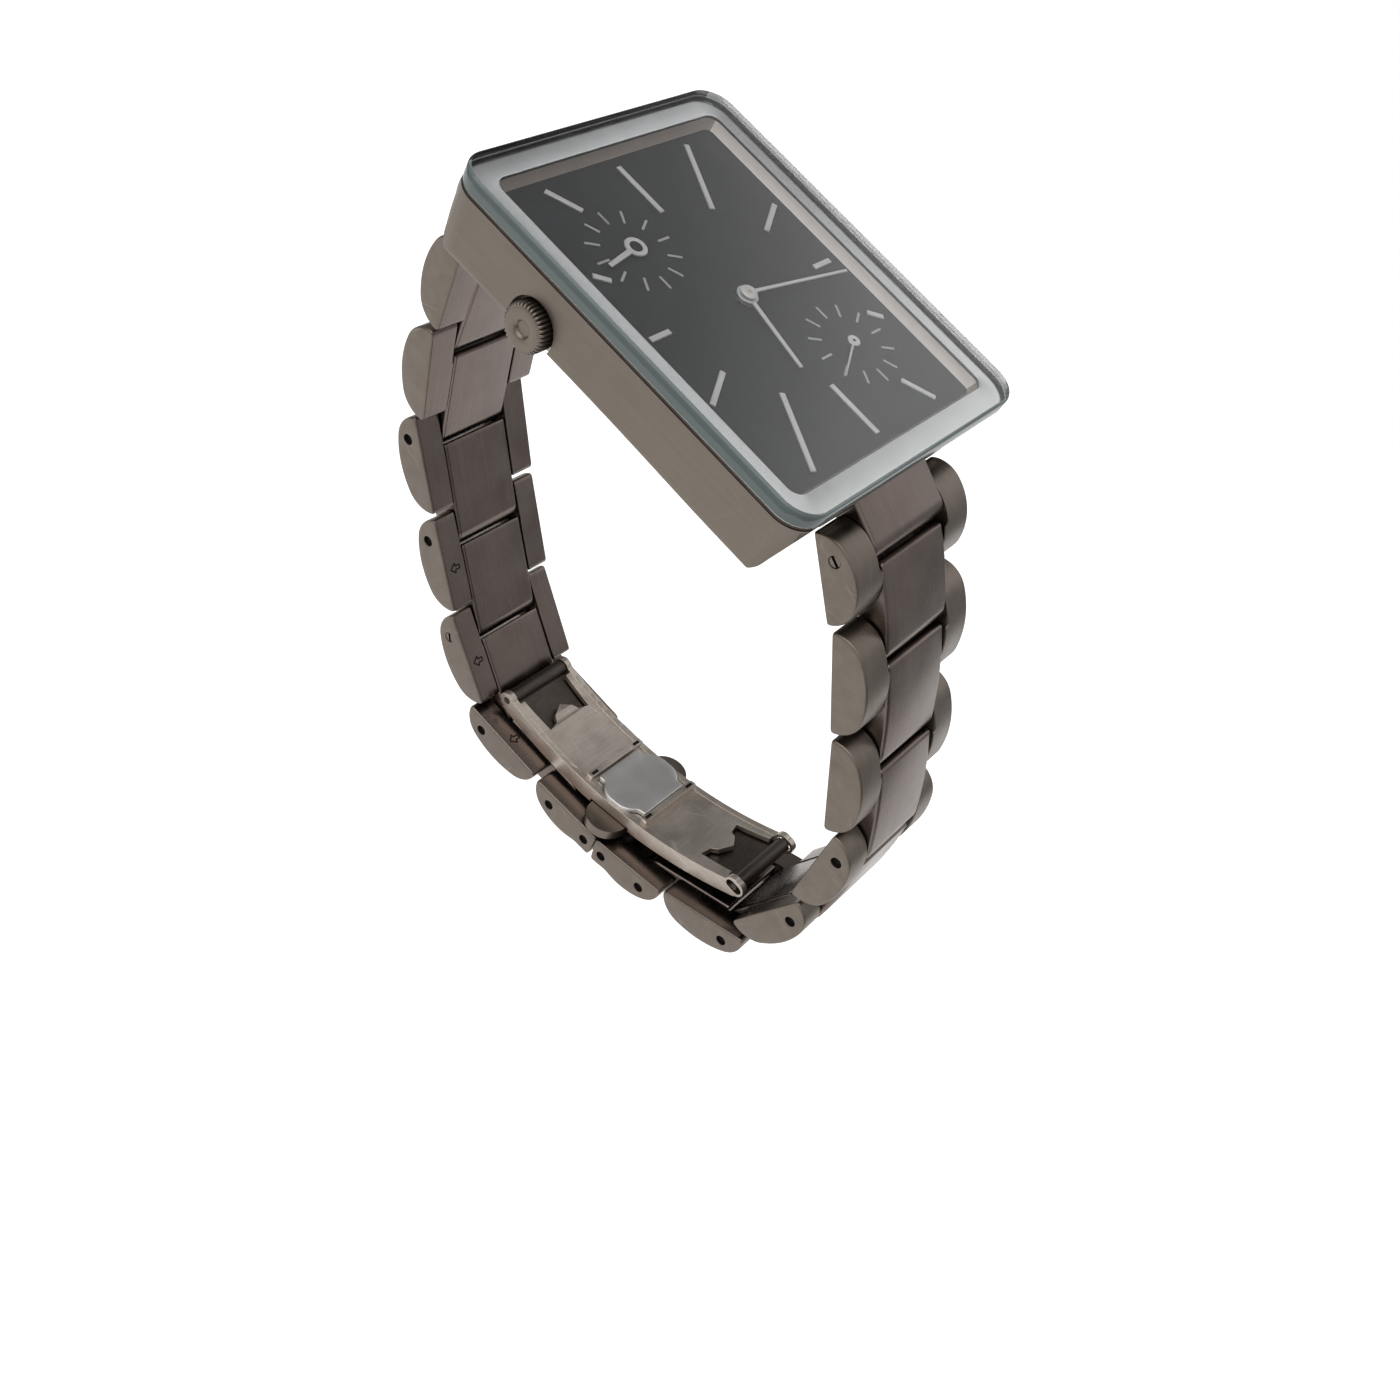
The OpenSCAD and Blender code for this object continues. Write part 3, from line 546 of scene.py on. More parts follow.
def borderPiece(c, b):
    # the flat flange with its lip, a near black seam as painted shade under the lip, the wall down to the
    # dial, and the underside in the darkened blade steel as painted shade
    inset, margin = b["inset"], b["seatMargin"]
    outer = roundedBox(c["width"] - 2 * inset, c["length"] - 2 * inset, c["corner"] - inset)
    seat = roundedBox(b["width"] + 2 * margin, b["length"] + 2 * margin, b["seatCorner"])
    window = roundedBox(b["width"], b["length"], b["corner"])
    into = inwards(window)
    foot, seam, flange, top = b["foot"], b["seam"], b["flange"], b["top"]
    stacks = [
        [flat(outer, flange), flat(outer, top), flat(window - into * 0.08, top),
         flat(window - into * 0.02, b["lipMiddle"]), flat(window, b["lip"])],
        [flat(window, b["lip"]), flat(window, seam)],
        [flat(window, seam), flat(window + into * b["wallLean"], foot), flat(seat, foot)],
        [flat(seat, foot), flat(seat, seam), flat(outer, seam), flat(outer, flange)],
    ]
    piece = buildPiece("silverBorder", [ringShell(rings, False, False) for rings in stacks],
                       [borderSilver, shadeBlack, wallBronze, litWall, shadedBladeSteel], faceSlots=[0, 1, 2, 4])
    # the wall at 3 o'clock takes the pale copy, as painted light where it faces the key lamp
    for face in piece.data.polygons:
        if face.material_index == 2 and face.center[0] > (b["width"] / 2 - b["litWallBand"]) * mm:
            face.material_index = 3
    return piece


setUp(borderPiece(case, border), "dial_ring", "case")
print("case, glass and border made")


# Dial and hands

dialFace = {"low": 5.951, "batonWidth": 0.5, "batonTop": 6.1, "batonCut": 0.05, "smooth": 20, "marks": 12,
            "ring": 4.35, "markLength": 1.35, "markWidth": 0.22, "markTop": 5.99, "markCut": 0.01,
            "zone": (-5.98, 7.75), "seconds": (5.98, -7.75)}
# each baton on the right and at 12, from its outer to its inner end
batonEnds = [((0, 15.55), (0, 10.1)), ((9, 15.55), (5.2, 8.75)), ((12.1, 7), (8.55, 4.95)),
             ((12.07, 0), (9.75, 0)), ((11.8, -6.95), (10.6, -5.9)), ((8.9, -15.5), (7.25, -12.65))]


def facetedBar(a, b, widthA, widthB, z0, z1, cut):
    # a bar from a to b: four rings of a section with cut upper edges, the ends pulled in by the cut
    a, b = np.array(a, float), np.array(b, float)
    length = np.linalg.norm(b - a)
    along = (b - a) / length
    side = np.array([-along[1], along[0]])
    rings = []
    for at, w, top, pull in ((0, widthA, z1 - cut, 0.0), (cut, widthA, z1, 1.0),
                             (length - cut, widthB, z1, 1.0), (length, widthB, z1 - cut, 0.0)):
        half = w / 2
        across = np.array([-half, -half, -half + cut * pull, half - cut * pull, half, half])
        heights = np.array([z0, z1 - cut, top, top, z1 - cut, z0])
        rings.append(np.column_stack([a + along * at + across[:, None] * side, heights]))
    return ringShell(rings)


def batonShells(d):
    # the batons opposite each other are the same, half a turn on
    width = d["batonWidth"]
    shells = []
    for a, b in batonEnds:
        for sign in (1, -1):
            outer, inner = np.array(a) * sign, np.array(b) * sign
            shells.append(facetedBar(outer, inner, width, width, d["low"], d["batonTop"], d["batonCut"]))
    return shells


def markShells(d):
    width = d["markWidth"]
    shells = []
    for centre in (d["zone"], d["seconds"]):
        for i in range(d["marks"]):
            angle = 2 * math.pi * i / d["marks"]
            way = np.array([math.sin(angle), math.cos(angle)])
            a = np.array(centre) + way * d["ring"]
            b = np.array(centre) + way * (d["ring"] - d["markLength"])
            shells.append(facetedBar(a, b, width, width, d["low"], d["markTop"], d["markCut"]))
    return shells


batons = buildPiece("batons", batonShells(dialFace), [handSilver], dialFace["smooth"])
setUp(batons, "dial_batons", "case")
marks = buildPiece("smallDialMarks", markShells(dialFace), [markGrey], dialFace["smooth"])
setUp(marks, "dial_marks", "case")


def handPiece(name, h):
    # a slender bar from the hub outwards, a hub turned from its profile, and a disc in its eye, silver or
    # near black as painted shade of the hole
    way = np.array([math.cos(math.radians(h["angle"])), math.sin(math.radians(h["angle"]))])
    centre = np.array(h["centre"], float)
    bar = facetedBar(centre + way * h["from"], centre + way * h["length"], h["width"], h["tip"], h["z"],
                     h["z"] + handForm["thickness"], handForm["cut"])
    hub = ringShell(turned(h["hub"], (*centre, h["z"]), handForm["turned"]), False, False)
    count = handForm["eyePoints"]
    eye = (flat(circlePoints(*centre, h["eye"], count), h["z"] + h["eyeHeight"]), [list(range(count))])
    return buildPiece(name, [bar, hub, eye], [handSilver, shadeBlack], handForm["smooth"],
                      faceSlots=[0, 0, h["eyeSlot"]])


handForm = {"thickness": 0.12, "cut": 0.03, "turned": 48, "eyePoints": 32, "smooth": 25}
hourHand = {
    "angle": -101.7, "centre": (0, 0), "from": 0.5, "length": 7.9, "width": 0.42, "tip": 0.36, "z": 6.3,
    "eye": 0.46, "eyeHeight": 0.05, "eyeSlot": 1,
    "hub": [(0.46, -0.5), (0.64, -0.5), (0.64, 0.0), (0.95, 0.0), (0.98, 0.06), (0.92, 0.13), (0.46, 0.14)]}
minuteHand = {
    "angle": -8.8, "centre": (0, 0), "from": 0.3, "length": 12.05, "width": 0.34, "tip": 0.25, "z": 6.57,
    "eye": 0.27, "eyeHeight": 0.165, "eyeSlot": 0,
    "hub": [(0.26, 0.0), (0.74, 0.0), (0.76, 0.1), (0.66, 0.19), (0.45, 0.21), (0.42, 0.17), (0.26, 0.16)]}
zoneHand = {
    "angle": 190.6, "centre": dialFace["zone"], "from": 0.9, "length": 3.87, "width": 0.5, "tip": 0.44,
    "z": 6.25, "eye": 0.58, "eyeHeight": 0.125, "eyeSlot": 1,
    "hub": [(0.24, 0.0), (0.98, 0.0), (1.02, 0.05), (0.98, 0.14), (0.68, 0.15), (0.58, 0.13), (0.58, 0.06)]}
secondsHand = {
    "angle": 209.7, "centre": dialFace["seconds"], "from": 0.5, "length": 4.76, "width": 0.2, "tip": 0.14,
    "z": 6.25, "eye": 0.16, "eyeHeight": 0.125, "eyeSlot": 1,
    "hub": [(0.17, 0.0), (0.56, 0.0), (0.6, 0.05), (0.54, 0.14), (0.26, 0.15), (0.16, 0.13), (0.16, 0.06)]}
for name, node, hand in (("hourHand", "hour_hand", hourHand), ("minuteHand", "minute_hand", minuteHand),
                         ("zoneHand", "second_zone_hand", zoneHand),
                         ("secondsHand", "small_seconds_hand", secondsHand)):
    setUp(handPiece(name, hand), node, node)
print("dial and hands made")


# Crown

crown = {"centre": (0, 7.55, 2.4), "face": -17.0, "back": -15.05, "radius": 2.1, "grooves": 34, "depth": 0.3,
         "dimple": 0.78, "dimpleDepth": 0.26, "pointsPerGroove": 8, "lobe": 0.6, "smooth": 50}


def crownPiece(c):
    # round lobes between sharp grooves that fade out on both rims
    n = c["grooves"] * c["pointsPerGroove"]
    a = np.linspace(0, 2 * np.pi, n, endpoint=False)
    groove = 1 - np.abs(np.sin(a * c["grooves"] / 2)) ** c["lobe"]
    face, back, r, dimple = c["face"], c["back"], c["radius"], c["dimple"]
    bottom = face + c["dimpleDepth"]
    rows = [(0.5, back, 0), (r - 0.35, back, 0), (r - 0.1, back - 0.08, 0.8), (r, back - 0.2, 1.0),
            (r, face + 0.42, 1.0), (r - 0.03, face + 0.26, 0.95), (r - 0.12, face + 0.11, 0.75),
            (r - 0.26, face + 0.03, 0.45), (r - 0.42, face, 0.0), (dimple + 0.1, face, 0.0),
            (dimple - 0.02, face + 0.05, 0.0), (dimple - 0.16, bottom, 0.0), (0.2, bottom + 0.01, 0.0),
            (0.02, bottom + 0.01, 0.0)]
    rings = []
    for radius, x, share in rows:
        reach = radius - c["depth"] * share * groove
        y = c["centre"][1] + reach * np.cos(a)
        z = c["centre"][2] + reach * np.sin(a)
        rings.append(np.column_stack([np.full(n, x), y, z]))
    return buildPiece("crownKnurled", [ringShell(rings)], [caseSatin], c["smooth"])


setUp(crownPiece(crown), "crown", "crown")
print("crown made")


# Bracelet links

# pins are (y, z) in the side view of the watch; widths are half widths at each pin
bracelet = {
    "pins12": [(21.45, 2.43), (22.53, -6.6), (21.93, -17.4), (19.36, -27.92), (12.82, -36.54),
               (5.86, -44.84), (-2.46, -51.76), (-13.28, -51.62)],
    "pins6": [(-21.12, 1.73), (-27.11, -5.1), (-32.87, -14.27), (-38.08, -23.76), (-39.16, -34.53),
              (-35.92, -44.86), (-26.15, -49.5)],
    "last12": -185.4, "last6": -14.4, "pitch": 10.83, "firstPitch": 9.09, "lastEnd": 6.43, "bladePin": 5.25,
    "outer": [8.7, 8.2, 7.7, 7.25, 7.05, 6.95, 6.9, 6.9, 6.9],
    "centre": [5.3, 4.8, 4.5, 4.3, 4.3, 4.3, 4.3, 4.3, 4.3],
    "low": -1.65, "rim": 0.36, "rimSteps": 5, "nose": 1.56, "smooth": 30, "wristFacing": 0.92,
}


def linkPlace(side, k):
    # where a link lies: its pin, its angle and its side, and whether it is the last one
    pins = bracelet["pins12"] if side > 0 else bracelet["pins6"]
    p = np.array(pins[k])
    if k < len(pins) - 1:
        q = np.array(pins[k + 1])
        angle = math.atan2(q[1] - p[1], q[0] - p[0])
    else:
        angle = math.radians(bracelet["last12"] if side > 0 else bracelet["last6"])
    return (p, angle, side), k == len(pins) - 1


def toWatch(points, place):
    # x stays, u runs along the link and v away from the wrist, turned into the side view of the watch
    p, angle, side = place
    x, u, v = points[..., 0], points[..., 1], points[..., 2] * side
    y = p[0] + u * math.cos(angle) - v * math.sin(angle)
    z = p[1] + u * math.sin(angle) + v * math.cos(angle)
    return np.stack([x, y, z], axis=-1)


sideLink = {
    "thickness": 3.55, "round": 0.24, "endRadius": 2.95, "endAt": 0.5, "endLift": 0.25, "farRadius": 2.97,
    "farFromEnd": 3.0, "squareTop": 3.1, "shortOfPitch": 3.13, "points": 112, "soften": 3,
    "pinRoom": 3.2, "pinRoomEnd": 1.9, "pinRoomGap": 0.06, "innerEdge": 0.08, "innerLift": 0.001,
    "plainLinks": (1, 2), "hole": 0.55, "holeDepth": 0.42, "holeRim": 0.07, "bridge": 8, "pin": 0.54,
    "pinInto": 0.3,
}
screwHead = {"at": ((1, 5), (-1, 0)), "radius": 0.49, "turn": 20, "slotAngle": 14, "slotShift": 0.02,
             "depths": (0.3, 0.07)}
arrow = {"links": (4, 5, 6), "at": 3.2, "line": 0.15, "height": 0.012, "cut": 0.004,
         "corners": [(0.6, -0.2), (0.6, 0.2), (0.02, 0.2), (0.02, 0.55), (-0.6, 0.0), (0.02, -0.55),
                     (0.02, -0.2)]}


def sideOutline(s, end, squareEnd):
    # inner face, a round end, the long crowned back, and a round or square end
    low = bracelet["low"]
    top = s["thickness"] + low
    c1, c2, cv = s["endAt"], end - s["farFromEnd"], low + s["endLift"]
    middle, half = (c1 + c2) / 2, (c2 - c1) / 2
    rise = top - (cv + s["endRadius"])
    big = (half * half + rise * rise) / (2 * rise) + s["endRadius"]
    tangent = math.degrees(math.atan2(cv - (top - big), half))
    foot = math.degrees(math.asin(s["endLift"] / s["endRadius"]))
    if squareEnd:
        stop = math.degrees(math.asin((low + s["squareTop"] - (top - big)) / big))
        finish = np.array([[end, low + s["squareTop"]], [end, low]])
    else:
        stop = tangent
        finish = arcPoints(c2, cv, s["farRadius"], tangent, -foot, 40)
    start = arcPoints(c1, cv, s["endRadius"], 180 + foot, 180 - tangent, 40)
    return np.concatenate([start, arcPoints(middle, top - big, big, 180 - tangent, stop, 60), finish])


def splitOutline(s, ring, cut, first):
    # the part of an outline on one side of a cut, closed by a bridge that both parts share
    keep = ring[:, 0] <= cut if first else ring[:, 0] > cut
    part = np.roll(ring, -np.flatnonzero(keep & ~np.roll(keep, 1))[0], 0)[:keep.sum()]
    line = np.linspace(0, 1, s["bridge"])[1:-1, None]
    if first:
        a = ring[np.flatnonzero(~keep & np.roll(keep, 1))[0]]
        b = ring[np.flatnonzero(~keep & np.roll(keep, -1))[-1]]
        return np.vstack([part, a, a + (b - a) * line, b])
    return np.vstack([part, part[-1] + (part[0] - part[-1]) * line])


def holeRings(s, ring, spot):
    # from the outline towards a pin hole and over its rim, then down its wall and across the pin's end
    radius, depth = s["hole"], s["holeDepth"]
    way = (ring - spot) / np.linalg.norm(ring - spot, axis=1, keepdims=True)
    rim = spot + way * (radius + s["holeRim"])
    face = [(ring + (rim - ring) * t, 0.0) for t in (0.0, 0.55, 0.9, 1.0)]
    face += [(spot + way * (radius + 0.02), 0.02), (spot + way * radius, 0.08)]
    wall = [(radius, 0.08), (radius, depth), (radius - 0.12, depth + 0.03), (radius - 0.14, depth - 0.05),
            (0.1, depth - 0.08)]
    return face, [(spot + way * r, d) for r, d in wall]


def screwHalves(c, spot):
    # outlines of the two halves of a slotted head
    halves = []
    for start in (c["turn"], c["turn"] + 180):
        half = arcPoints(spot, 0, c["radius"], start + c["slotAngle"], start + 180 - c["slotAngle"], 20)
        across = np.array([-math.sin(math.radians(start)), math.cos(math.radians(start))])
        halves.append(half + c["slotShift"] * across)
    return halves


def arrowShells(c, middle):
    # the outline of an arrow, standing a hair off the wrist side
    corners = np.array(c["corners"])
    shells = []
    for a, b in zip(corners, np.roll(corners, -1, 0)):
        bar, faces = facetedBar(a, b, c["line"], c["line"], 0.0, c["height"], c["cut"])
        laid = np.column_stack([bar[:, 0] - middle, bar[:, 1] + c["at"], bracelet["low"] - bar[:, 2]])
        shells.append((laid, faces))
    return shells


def crossRod(spot, radius, n, ends, place):
    # a round rod across the bracelet between two places
    circle = circlePoints(spot, 0, radius, n)
    return ringShell([toWatch(np.column_stack([np.full(n, x), circle]), place) for x in ends])


def sideLinkShells(s, side, k):
    # rings of the outline from the inner face out to the crowned outer side, which leans with the taper
    place, last = linkPlace(side, k)
    reach = bracelet["firstPitch"] if k == 0 else bracelet["pitch"]
    outer, inner = bracelet["outer"][k], bracelet["centre"][k + 1]
    slope = (outer - bracelet["outer"][k + 1]) / reach
    end = bracelet["lastEnd"] if last else reach - s["shortOfPitch"]
    ring = evenRing(sideOutline(s, end, last), s["points"], s["soften"])
    into = inwards(ring)
    edge = ring + into * s["round"]
    holes = [] if k in s["plainLinks"] else [0.0]
    if last:
        holes.append(bracelet["bladePin"])
    shells, slots = [], []

    def put(j, outline, depth):
        x = outer - slope * outline[:, 0] - depth
        return toWatch(np.column_stack([j * x, outline]), place)

    for j in (-1, 1):
        # the inner face steps back round the first pin, where the wider centre link before it turns
        nearPin = (np.hypot(ring[:, 0], ring[:, 1]) < s["pinRoom"]) & (ring[:, 0] < s["pinRoomEnd"])
        face = np.where(nearPin, max(bracelet["centre"][k] + s["pinRoomGap"], inner), inner)
        first = np.column_stack([j * (face + s["innerLift"]), ring + into * s["innerEdge"]])
        second = np.column_stack([j * (face + s["innerEdge"]), ring])
        rows = [toWatch(first, place), toWatch(second, place)]
        for t in np.linspace(0, np.pi / 2, bracelet["rimSteps"]):
            rows.append(put(j, ring + into * s["round"] * (1 - np.cos(t)), s["round"] * (1 - np.sin(t))))
        shells.append(ringShell(rows, True, not holes))
        slots.append(0)
        for spot in holes:
            part = edge
            if len(holes) > 1:
                part = splitOutline(s, edge, sum(holes) / 2, spot == holes[0])
            face, wall = holeRings(s, part, np.array([spot, 0.0]))
            shells.append(ringShell([put(j, o, d) for o, d in face], False, False))
            shells.append(ringShell([put(j, o, d) for o, d in wall], False, True))
            # the hole's wall is near black, painted shade
            slots += [0, 1]
            if (side, k) in screwHead["at"]:
                for half in screwHalves(screwHead, spot):
                    shells.append(ringShell([put(j, half, d) for d in screwHead["depths"]]))
                    slots.append(0)
    if side > 0 and k in arrow["links"]:
        middle = (inner + outer - slope * arrow["at"]) / 2
        for laid, faces in arrowShells(arrow, middle):
            shells.append((toWatch(laid, place), faces))
            # the arrow lines are near black, painted shade of engraved lines
            slots.append(1)
    pinEnd = min(inner, bracelet["centre"][k]) + s["pinInto"]
    for spot in ([0.0, bracelet["bladePin"]] if last else [0.0]):
        shells.append(crossRod(spot, s["pin"], 32, (-pinEnd, pinEnd), place))
        slots.append(2)
    return shells, slots


centreLink = {
    "gap": 0.12, "points": 160, "soften": 2, "crown": 1.86, "hollow": 1.8, "hollowStart": 1.3,
    "hollowTop": 1.02, "backFrom": 0.06, "middleShift": 0.3, "noseEnd": -76, "studAt": 4.9, "stud": 0.6,
    "studRoot": 0.3, "studReach": 0.95,
    "lastBack": [(1.1, 1.62), (6.43, 1.65), (6.43, 0.9), (6.1, 0.9)], "bladeRoom": 1.32,
    "bladeRoomArc": (43, 137), "lastStep": (1.65, 0.9), "lastInner": 1.88, "lastInnerArc": (28.6, 61.4),
}


def centreOutline(c, side, k):
    # a hollow that turns on the pin before it, a flat inner face, a round nose and a crowned back
    wide, nose, top, low = c["hollow"], bracelet["nose"], c["crown"], bracelet["low"]
    if linkPlace(side, k)[1]:
        # the last one has a room for the blade's eye instead of a nose
        room = arcPoints(bracelet["bladePin"], 0, c["bladeRoom"], *c["bladeRoomArc"], 16)
        inner = arcPoints(0, 0, c["lastInner"], *c["lastInnerArc"], 8)
        return np.vstack([[[c["hollowStart"], low]], c["lastBack"], room, [c["lastStep"]], inner])
    # the back is one arc that meets the nose without a break
    reach = bracelet["firstPitch"] if k == 0 else bracelet["pitch"]
    middle = reach / 2 + c["middleShift"]
    span = reach - middle
    radius = (span ** 2 + top ** 2 - nose ** 2) / (2 * (top - nose))
    meet = math.degrees(math.atan2(radius - top, span))
    foot, head = -math.acos(c["hollowStart"] / wide), math.asin(c["hollowTop"] / wide)
    hollow = arcPoints(0, 0, wide, math.degrees(foot), math.degrees(head), 24)
    lift = math.degrees(math.acos((hollow[-1][0] + c["backFrom"] - middle) / radius))
    back = arcPoints(middle, top - radius, radius, lift, meet, 40)
    tip = arcPoints(reach, 0, nose, meet, c["noseEnd"], 30)
    return np.vstack([[[c["hollowStart"], low]], hollow, back, tip, [[reach, low]]])


def pillow(ring, w, place):
    # the outline carried across the bracelet from -w to w, its rims rounded by a quarter circle
    into, r = inwards(ring), bracelet["rim"]
    turns = np.linspace(0, np.pi / 2, bracelet["rimSteps"])
    half = [(w - r * (1 - np.cos(t)), ring + into * r * (1 - np.sin(t))) for t in turns]
    rings = [(-x, o) for x, o in half] + half[::-1]
    return ringShell([toWatch(np.column_stack([np.full(len(o), x), o]), place) for x, o in rings])


def centreLinkShells(c, side, k):
    # the pillow of a centre link, and the two studs that carry it in the side links
    place, last = linkPlace(side, k)
    w = bracelet["centre"][k + 1] - c["gap"]
    shells = [pillow(evenRing(centreOutline(c, side, k), c["points"], c["soften"]), w, place)]
    if not last:
        for j in (-1, 1):
            ends = (j * (w - c["studRoot"]), j * (w + c["studReach"]))
            shells.append(crossRod(c["studAt"], c["stud"], 24, ends, place))
    return shells


endLink = {"bar": (18.0, 3.6), "reach": 3.64, "barRadius": 1.25, "barArc": (98, 262), "noseExtra": 0.04,
           "noseArc": (-82, 82), "gap": 0.01, "points": 96}


def endLinkShells(c, side):
    # two round ends joined by their tangents, one on the spring bar and one on the first pin
    p = np.array([side * c["bar"][0], c["bar"][1]])
    pin = linkPlace(side, 0)[0][0]
    angle = math.atan2(pin[1] - p[1], pin[0] - p[0])
    outline = np.vstack([arcPoints(0, 0, c["barRadius"], *c["barArc"], 24),
                         arcPoints(c["reach"], 0, bracelet["nose"] + c["noseExtra"], *c["noseArc"], 28)])
    return [pillow(evenRing(outline, c["points"], 1), bracelet["centre"][0] - c["gap"], (p, angle, side))]


def shadeWristFaces(piece, place):
    # the faces that look at the wrist are brushed, and darker as painted shade inside the bracelet's loop
    _, angle, side = place
    toWrist = Vector((0.0, math.sin(angle) * side, -math.cos(angle) * side))
    for face in piece.data.polygons:
        if face.material_index == 0 and face.normal.dot(toWrist) > bracelet["wristFacing"]:
            face.material_index = 3


bodyOf = {n: b for b, members in frame["record"]["behaviour"]["bodies"].items() for n in members}
sideMaterials = [linkSatin, shadeBlack, plainSteel, linkBrushedShaded]
for side, tag in ((1, "12"), (-1, "6")):
    piece = buildPiece("endLink" + tag, endLinkShells(endLink, side), [linkBrushedShaded], bracelet["smooth"])
    setUp(piece, "end_link_" + tag, bodyOf["end_link_" + tag])
    for k in range(len(bracelet["pins" + tag])):
        node = "side_links_%s_%d" % (tag, k + 1)
        shells, slots = sideLinkShells(sideLink, side, k)
        piece = buildPiece("sideLinks%s.%d" % (tag, k + 1), shells, sideMaterials, bracelet["smooth"], slots)
        shadeWristFaces(piece, linkPlace(side, k)[0])
        setUp(piece, node, bodyOf[node])
        node = "centre_link_%s_%d" % (tag, k + 1)
        shells = centreLinkShells(centreLink, side, k)
        piece = buildPiece("centreLink%s.%d" % (tag, k + 1), shells, [linkBrushedShaded], bracelet["smooth"])
        setUp(piece, node, bodyOf[node])
print("bracelet made")


# Clasp

# piece name, material, edge width, whether flat faces are joined, and slot
claspParts = {
    # the blades take the darkened steel, painted shade under the bow
    "clasp_bow": ("claspBow", claspWorn, 0.04, False, "clasp_steel"),
    "clasp_blade_12": ("claspBlade12", shadedBladeSteel, 0.05, True, "clasp_steel"),
    "clasp_blade_6": ("claspBlade6", shadedBladeSteel, 0.05, True, "clasp_steel"),
    "lock_block": ("lockBlock", plainSteel, 0.06, True, "clasp_steel"),
    "pusher_near": ("pusherNear", linkSatin, 0.22, True, "case_metal"),
    "pusher_far": ("pusherFar", linkSatin, 0.22, True, "case_metal"),
}
for node, (name, material, width, joinFlat, slotName) in claspParts.items():
    setUp(softened(name, node, material, width, joinFlat), node, bodyOf[node])

cover = {
    "centre": (-8.22, -5.25), "angle": -103.55, "radius": 42.5, "under": 0.105, "top": 0.56, "round": 0.2,
    "halfBox": (3.2, 3.35), "lobe": 2.9, "lobeAt": 1.6, "halfWidth": 4.4, "points": 200, "soften": 4,
    "rimSteps": 5, "topRings": (0.8, 0.6, 0.4, 0.2, 0.02), "underRings": (0.02, 0.3, 0.6, 0.85),
    "smooth": 40, "slit": (0.45, 0.17), "slitAt": (3.3, 3.84), "slitFoot": 0.7, "slitTop": 0.812,
}


def coverPiece(c):
    # outline as a radius over angle, the outer one of a box and two round lobes, laid on the bow's curve
    t = np.linspace(0, 2 * np.pi, 360, endpoint=False)
    sides = [h / np.maximum(np.abs(f), 1e-6) for h, f in zip(c["halfBox"], (np.cos(t), np.sin(t)))]
    box = np.minimum(*sides)
    lobe = c["lobeAt"] * np.abs(np.cos(t)) + np.sqrt(c["lobe"] ** 2 - (c["lobeAt"] * np.sin(t)) ** 2)
    reach = np.maximum(box, lobe)
    ring = np.column_stack([reach * np.cos(t), reach * np.sin(t)])
    ring[:, 0] = np.clip(ring[:, 0], -c["halfWidth"], c["halfWidth"])
    ring = evenRing(ring, c["points"], c["soften"])
    into = inwards(ring)

    def laid(outline, height):
        a = math.radians(c["angle"]) + outline[:, 1] / c["radius"]
        r = c["radius"] - height
        y, z = c["centre"][0] + r * np.cos(a), c["centre"][1] + r * np.sin(a)
        return np.column_stack([outline[:, 0], y, z])

    steps = [(0.0, c["under"])]
    for q in np.linspace(0, np.pi / 2, c["rimSteps"]):
        steps.append((c["round"] * (1 - math.cos(q)), c["top"] - c["round"] * (1 - math.sin(q))))
    last = ring + into * c["round"]
    rings = [laid(ring * share, c["under"]) for share in c["underRings"]]
    rings += [laid(ring + into * d, h) for d, h in steps]
    rings += [laid(last * share, c["top"]) for share in c["topRings"]]
    shells = [ringShell(rings)]
    # four slits in the two bars beside the plate, where its tabs go through, near black as painted shade
    half, deep = c["slit"]
    for x in (-c["slitAt"][0], c["slitAt"][0]):
        for y in (-c["slitAt"][1], c["slitAt"][1]):
            patch = np.array([(x - half, y - deep), (x + half, y - deep),
                              (x + half, y + deep), (x - half, y + deep)])
            shells.append(ringShell([laid(patch, c["slitFoot"]), laid(patch, c["slitTop"])]))
    return buildPiece("claspCover", shells, [plateSteel, shadeBlack], c["smooth"], faceSlots=[0, 1, 1, 1, 1])


setUp(coverPiece(cover), "clasp_cover", bodyOf["clasp_cover"])
print("clasp made")


# Solids that keep their own shape

for node, material in {
    "case_back": backSteel, "case_back_screws": plainSteel, "case_back_gasket": sealRubber,
    "dial": dialCharcoal, "movement": movementMetal, "battery": batterySteel,
    "setting_lever": movementMetal, "stem": plainSteel, "crown_tube": plainSteel,
    "spring_bars": plainSteel, "pusher_spring": plainSteel,
}.items():
    dress(node, material)
print("inner pieces finished")


# Floor, world and lamps

# each window is a direction, how far round it the light reaches as a cosine, and its strength
studio = {
    "floorDrop": 0.03, "floorSize": 0.44, "floorColour": (0.86, 0.86, 0.855, 1.0), "floorRoughness": 0.9,
    "floorSpecular": 0.1, "glow": 0.6, "mirrorGlow": 0.35, "horizon": 0.12, "ceiling": 0.55,
    "ceilingFrom": 0.6, "dimWay": (0.6, 0.48, 0.64), "dimFrom": 0.945, "dimTo": 0.995, "dimLevel": 0.24,
    "windows": [((0.86, -0.06, 0.5), 0.84, 0.7), ((-0.8, 0.1, 0.6), 0.2, 0.5),
                ((0.66, -0.72, 0.0), 0.55, 0.3)],
    "straightRays": (3.5, 4.5),
}
keyLamp = {"place": (-0.45, 0.25, 0.65), "target": (0, 0, -0.02), "size": 0.9, "power": 2.6}


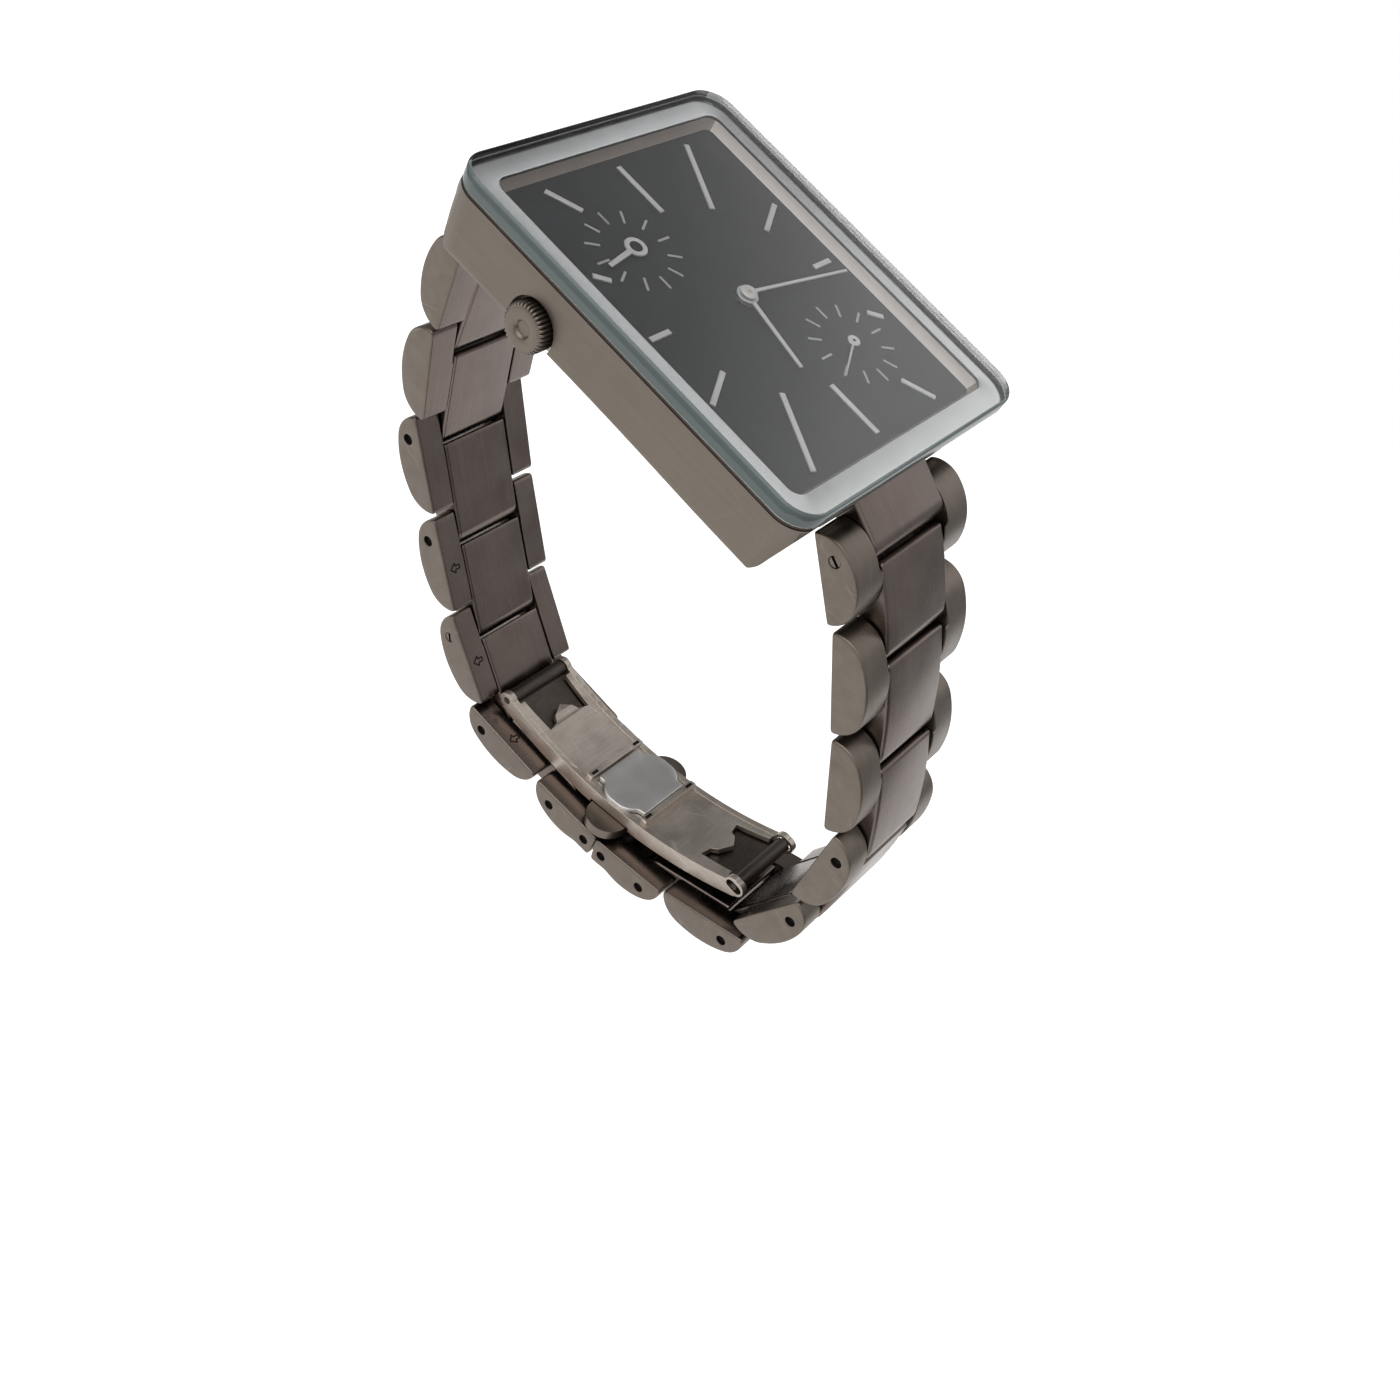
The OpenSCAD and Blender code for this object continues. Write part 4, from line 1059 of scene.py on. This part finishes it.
def floorPiece(s):
    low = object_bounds()[0][2] - s["floorDrop"]
    half = s["floorSize"] / 2
    corners = [(-half, -half, low), (half, -half, low), (half, half, low), (-half, half, low)]
    mesh = bpy.data.meshes.new("floor")
    mesh.from_pydata(corners, [], [(0, 1, 2, 3)])
    material, tree, shader = newFinish(
        "paleFloor", Base_Color=s["floorColour"], Roughness=s["floorRoughness"],
        Specular_IOR_Level=s["floorSpecular"], Emission_Color=(1.0, 1.0, 1.0, 1.0))
    light = tree.nodes.new("ShaderNodeLightPath")
    seen = math2(tree, "MAXIMUM", light.outputs["Is Camera Ray"], light.outputs["Is Transmission Ray"])
    shown = math2(tree, "MULTIPLY", seen, s["glow"])
    mirrored = math2(tree, "MULTIPLY", light.outputs["Is Glossy Ray"], s["mirrorGlow"])
    tree.links.new(math2(tree, "MAXIMUM", shown, mirrored), shader.inputs["Emission Strength"])
    mesh.materials.append(material)
    floor = newObject("floor", mesh)
    floor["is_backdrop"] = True


def towards(tree, where, way):
    # how well the direction looked in agrees with a given one
    node = addNode(tree, "ShaderNodeVectorMath", operation="DOT_PRODUCT")
    feed(tree, node.inputs[0], where)
    feed(tree, node.inputs[1], way)
    return node.outputs["Value"]


def worldLight(s):
    world = bpy.data.worlds.new("studio")
    bpy.context.scene.world = world
    world.use_nodes = True
    tree = world.node_tree
    ground = tree.nodes["Background"]
    path = tree.nodes.new("ShaderNodeLightPath")
    where = tree.nodes.new("ShaderNodeTexCoord").outputs["Generated"]
    # a ceiling over a dim horizon, and three soft windows
    split = addNode(tree, "ShaderNodeSeparateXYZ", Vector=where)
    bright = ramp(tree, split.outputs["Z"], 0.0, s["ceilingFrom"], s["horizon"], s["ceiling"])
    for way, reach, glow in s["windows"]:
        bright = math2(tree, "ADD", bright, ramp(tree, towards(tree, where, way), reach, 1.0, 0.0, glow))
    # one dim patch, left out where the background is seen straight through the glass
    dim = ramp(tree, towards(tree, where, s["dimWay"]), s["dimFrom"], s["dimTo"], 1.0, s["dimLevel"])
    straight = ramp(tree, path.outputs["Ray Depth"], *s["straightRays"], 1.0, 0.0)
    seen = math2(tree, "MAXIMUM", path.outputs["Is Camera Ray"], path.outputs["Is Transmission Ray"])
    shown = math2(tree, "MULTIPLY", seen, math2(tree, "MAXIMUM", dim, straight))
    strength = math2(tree, "MAXIMUM", shown, math2(tree, "MULTIPLY", bright, dim))
    tree.links.new(strength, ground.inputs["Strength"])
    ground.inputs["Color"].default_value = (1.0, 1.0, 1.0, 1.0)


def softLamp(name, c):
    data = bpy.data.lights.new(name, "AREA")
    data.shape = "SQUARE"
    data.size = c["size"]
    data.energy = c["power"]
    lamp = newObject(name, data)
    lamp.location = c["place"]
    lamp.rotation_euler = (Vector(c["target"]) - Vector(c["place"])).to_track_quat("-Z", "Y").to_euler()


floorPiece(studio)
worldLight(studio)
softLamp("keyLamp", keyLamp)
bpy.context.scene.view_settings.view_transform = "Standard"
print("stage lit")
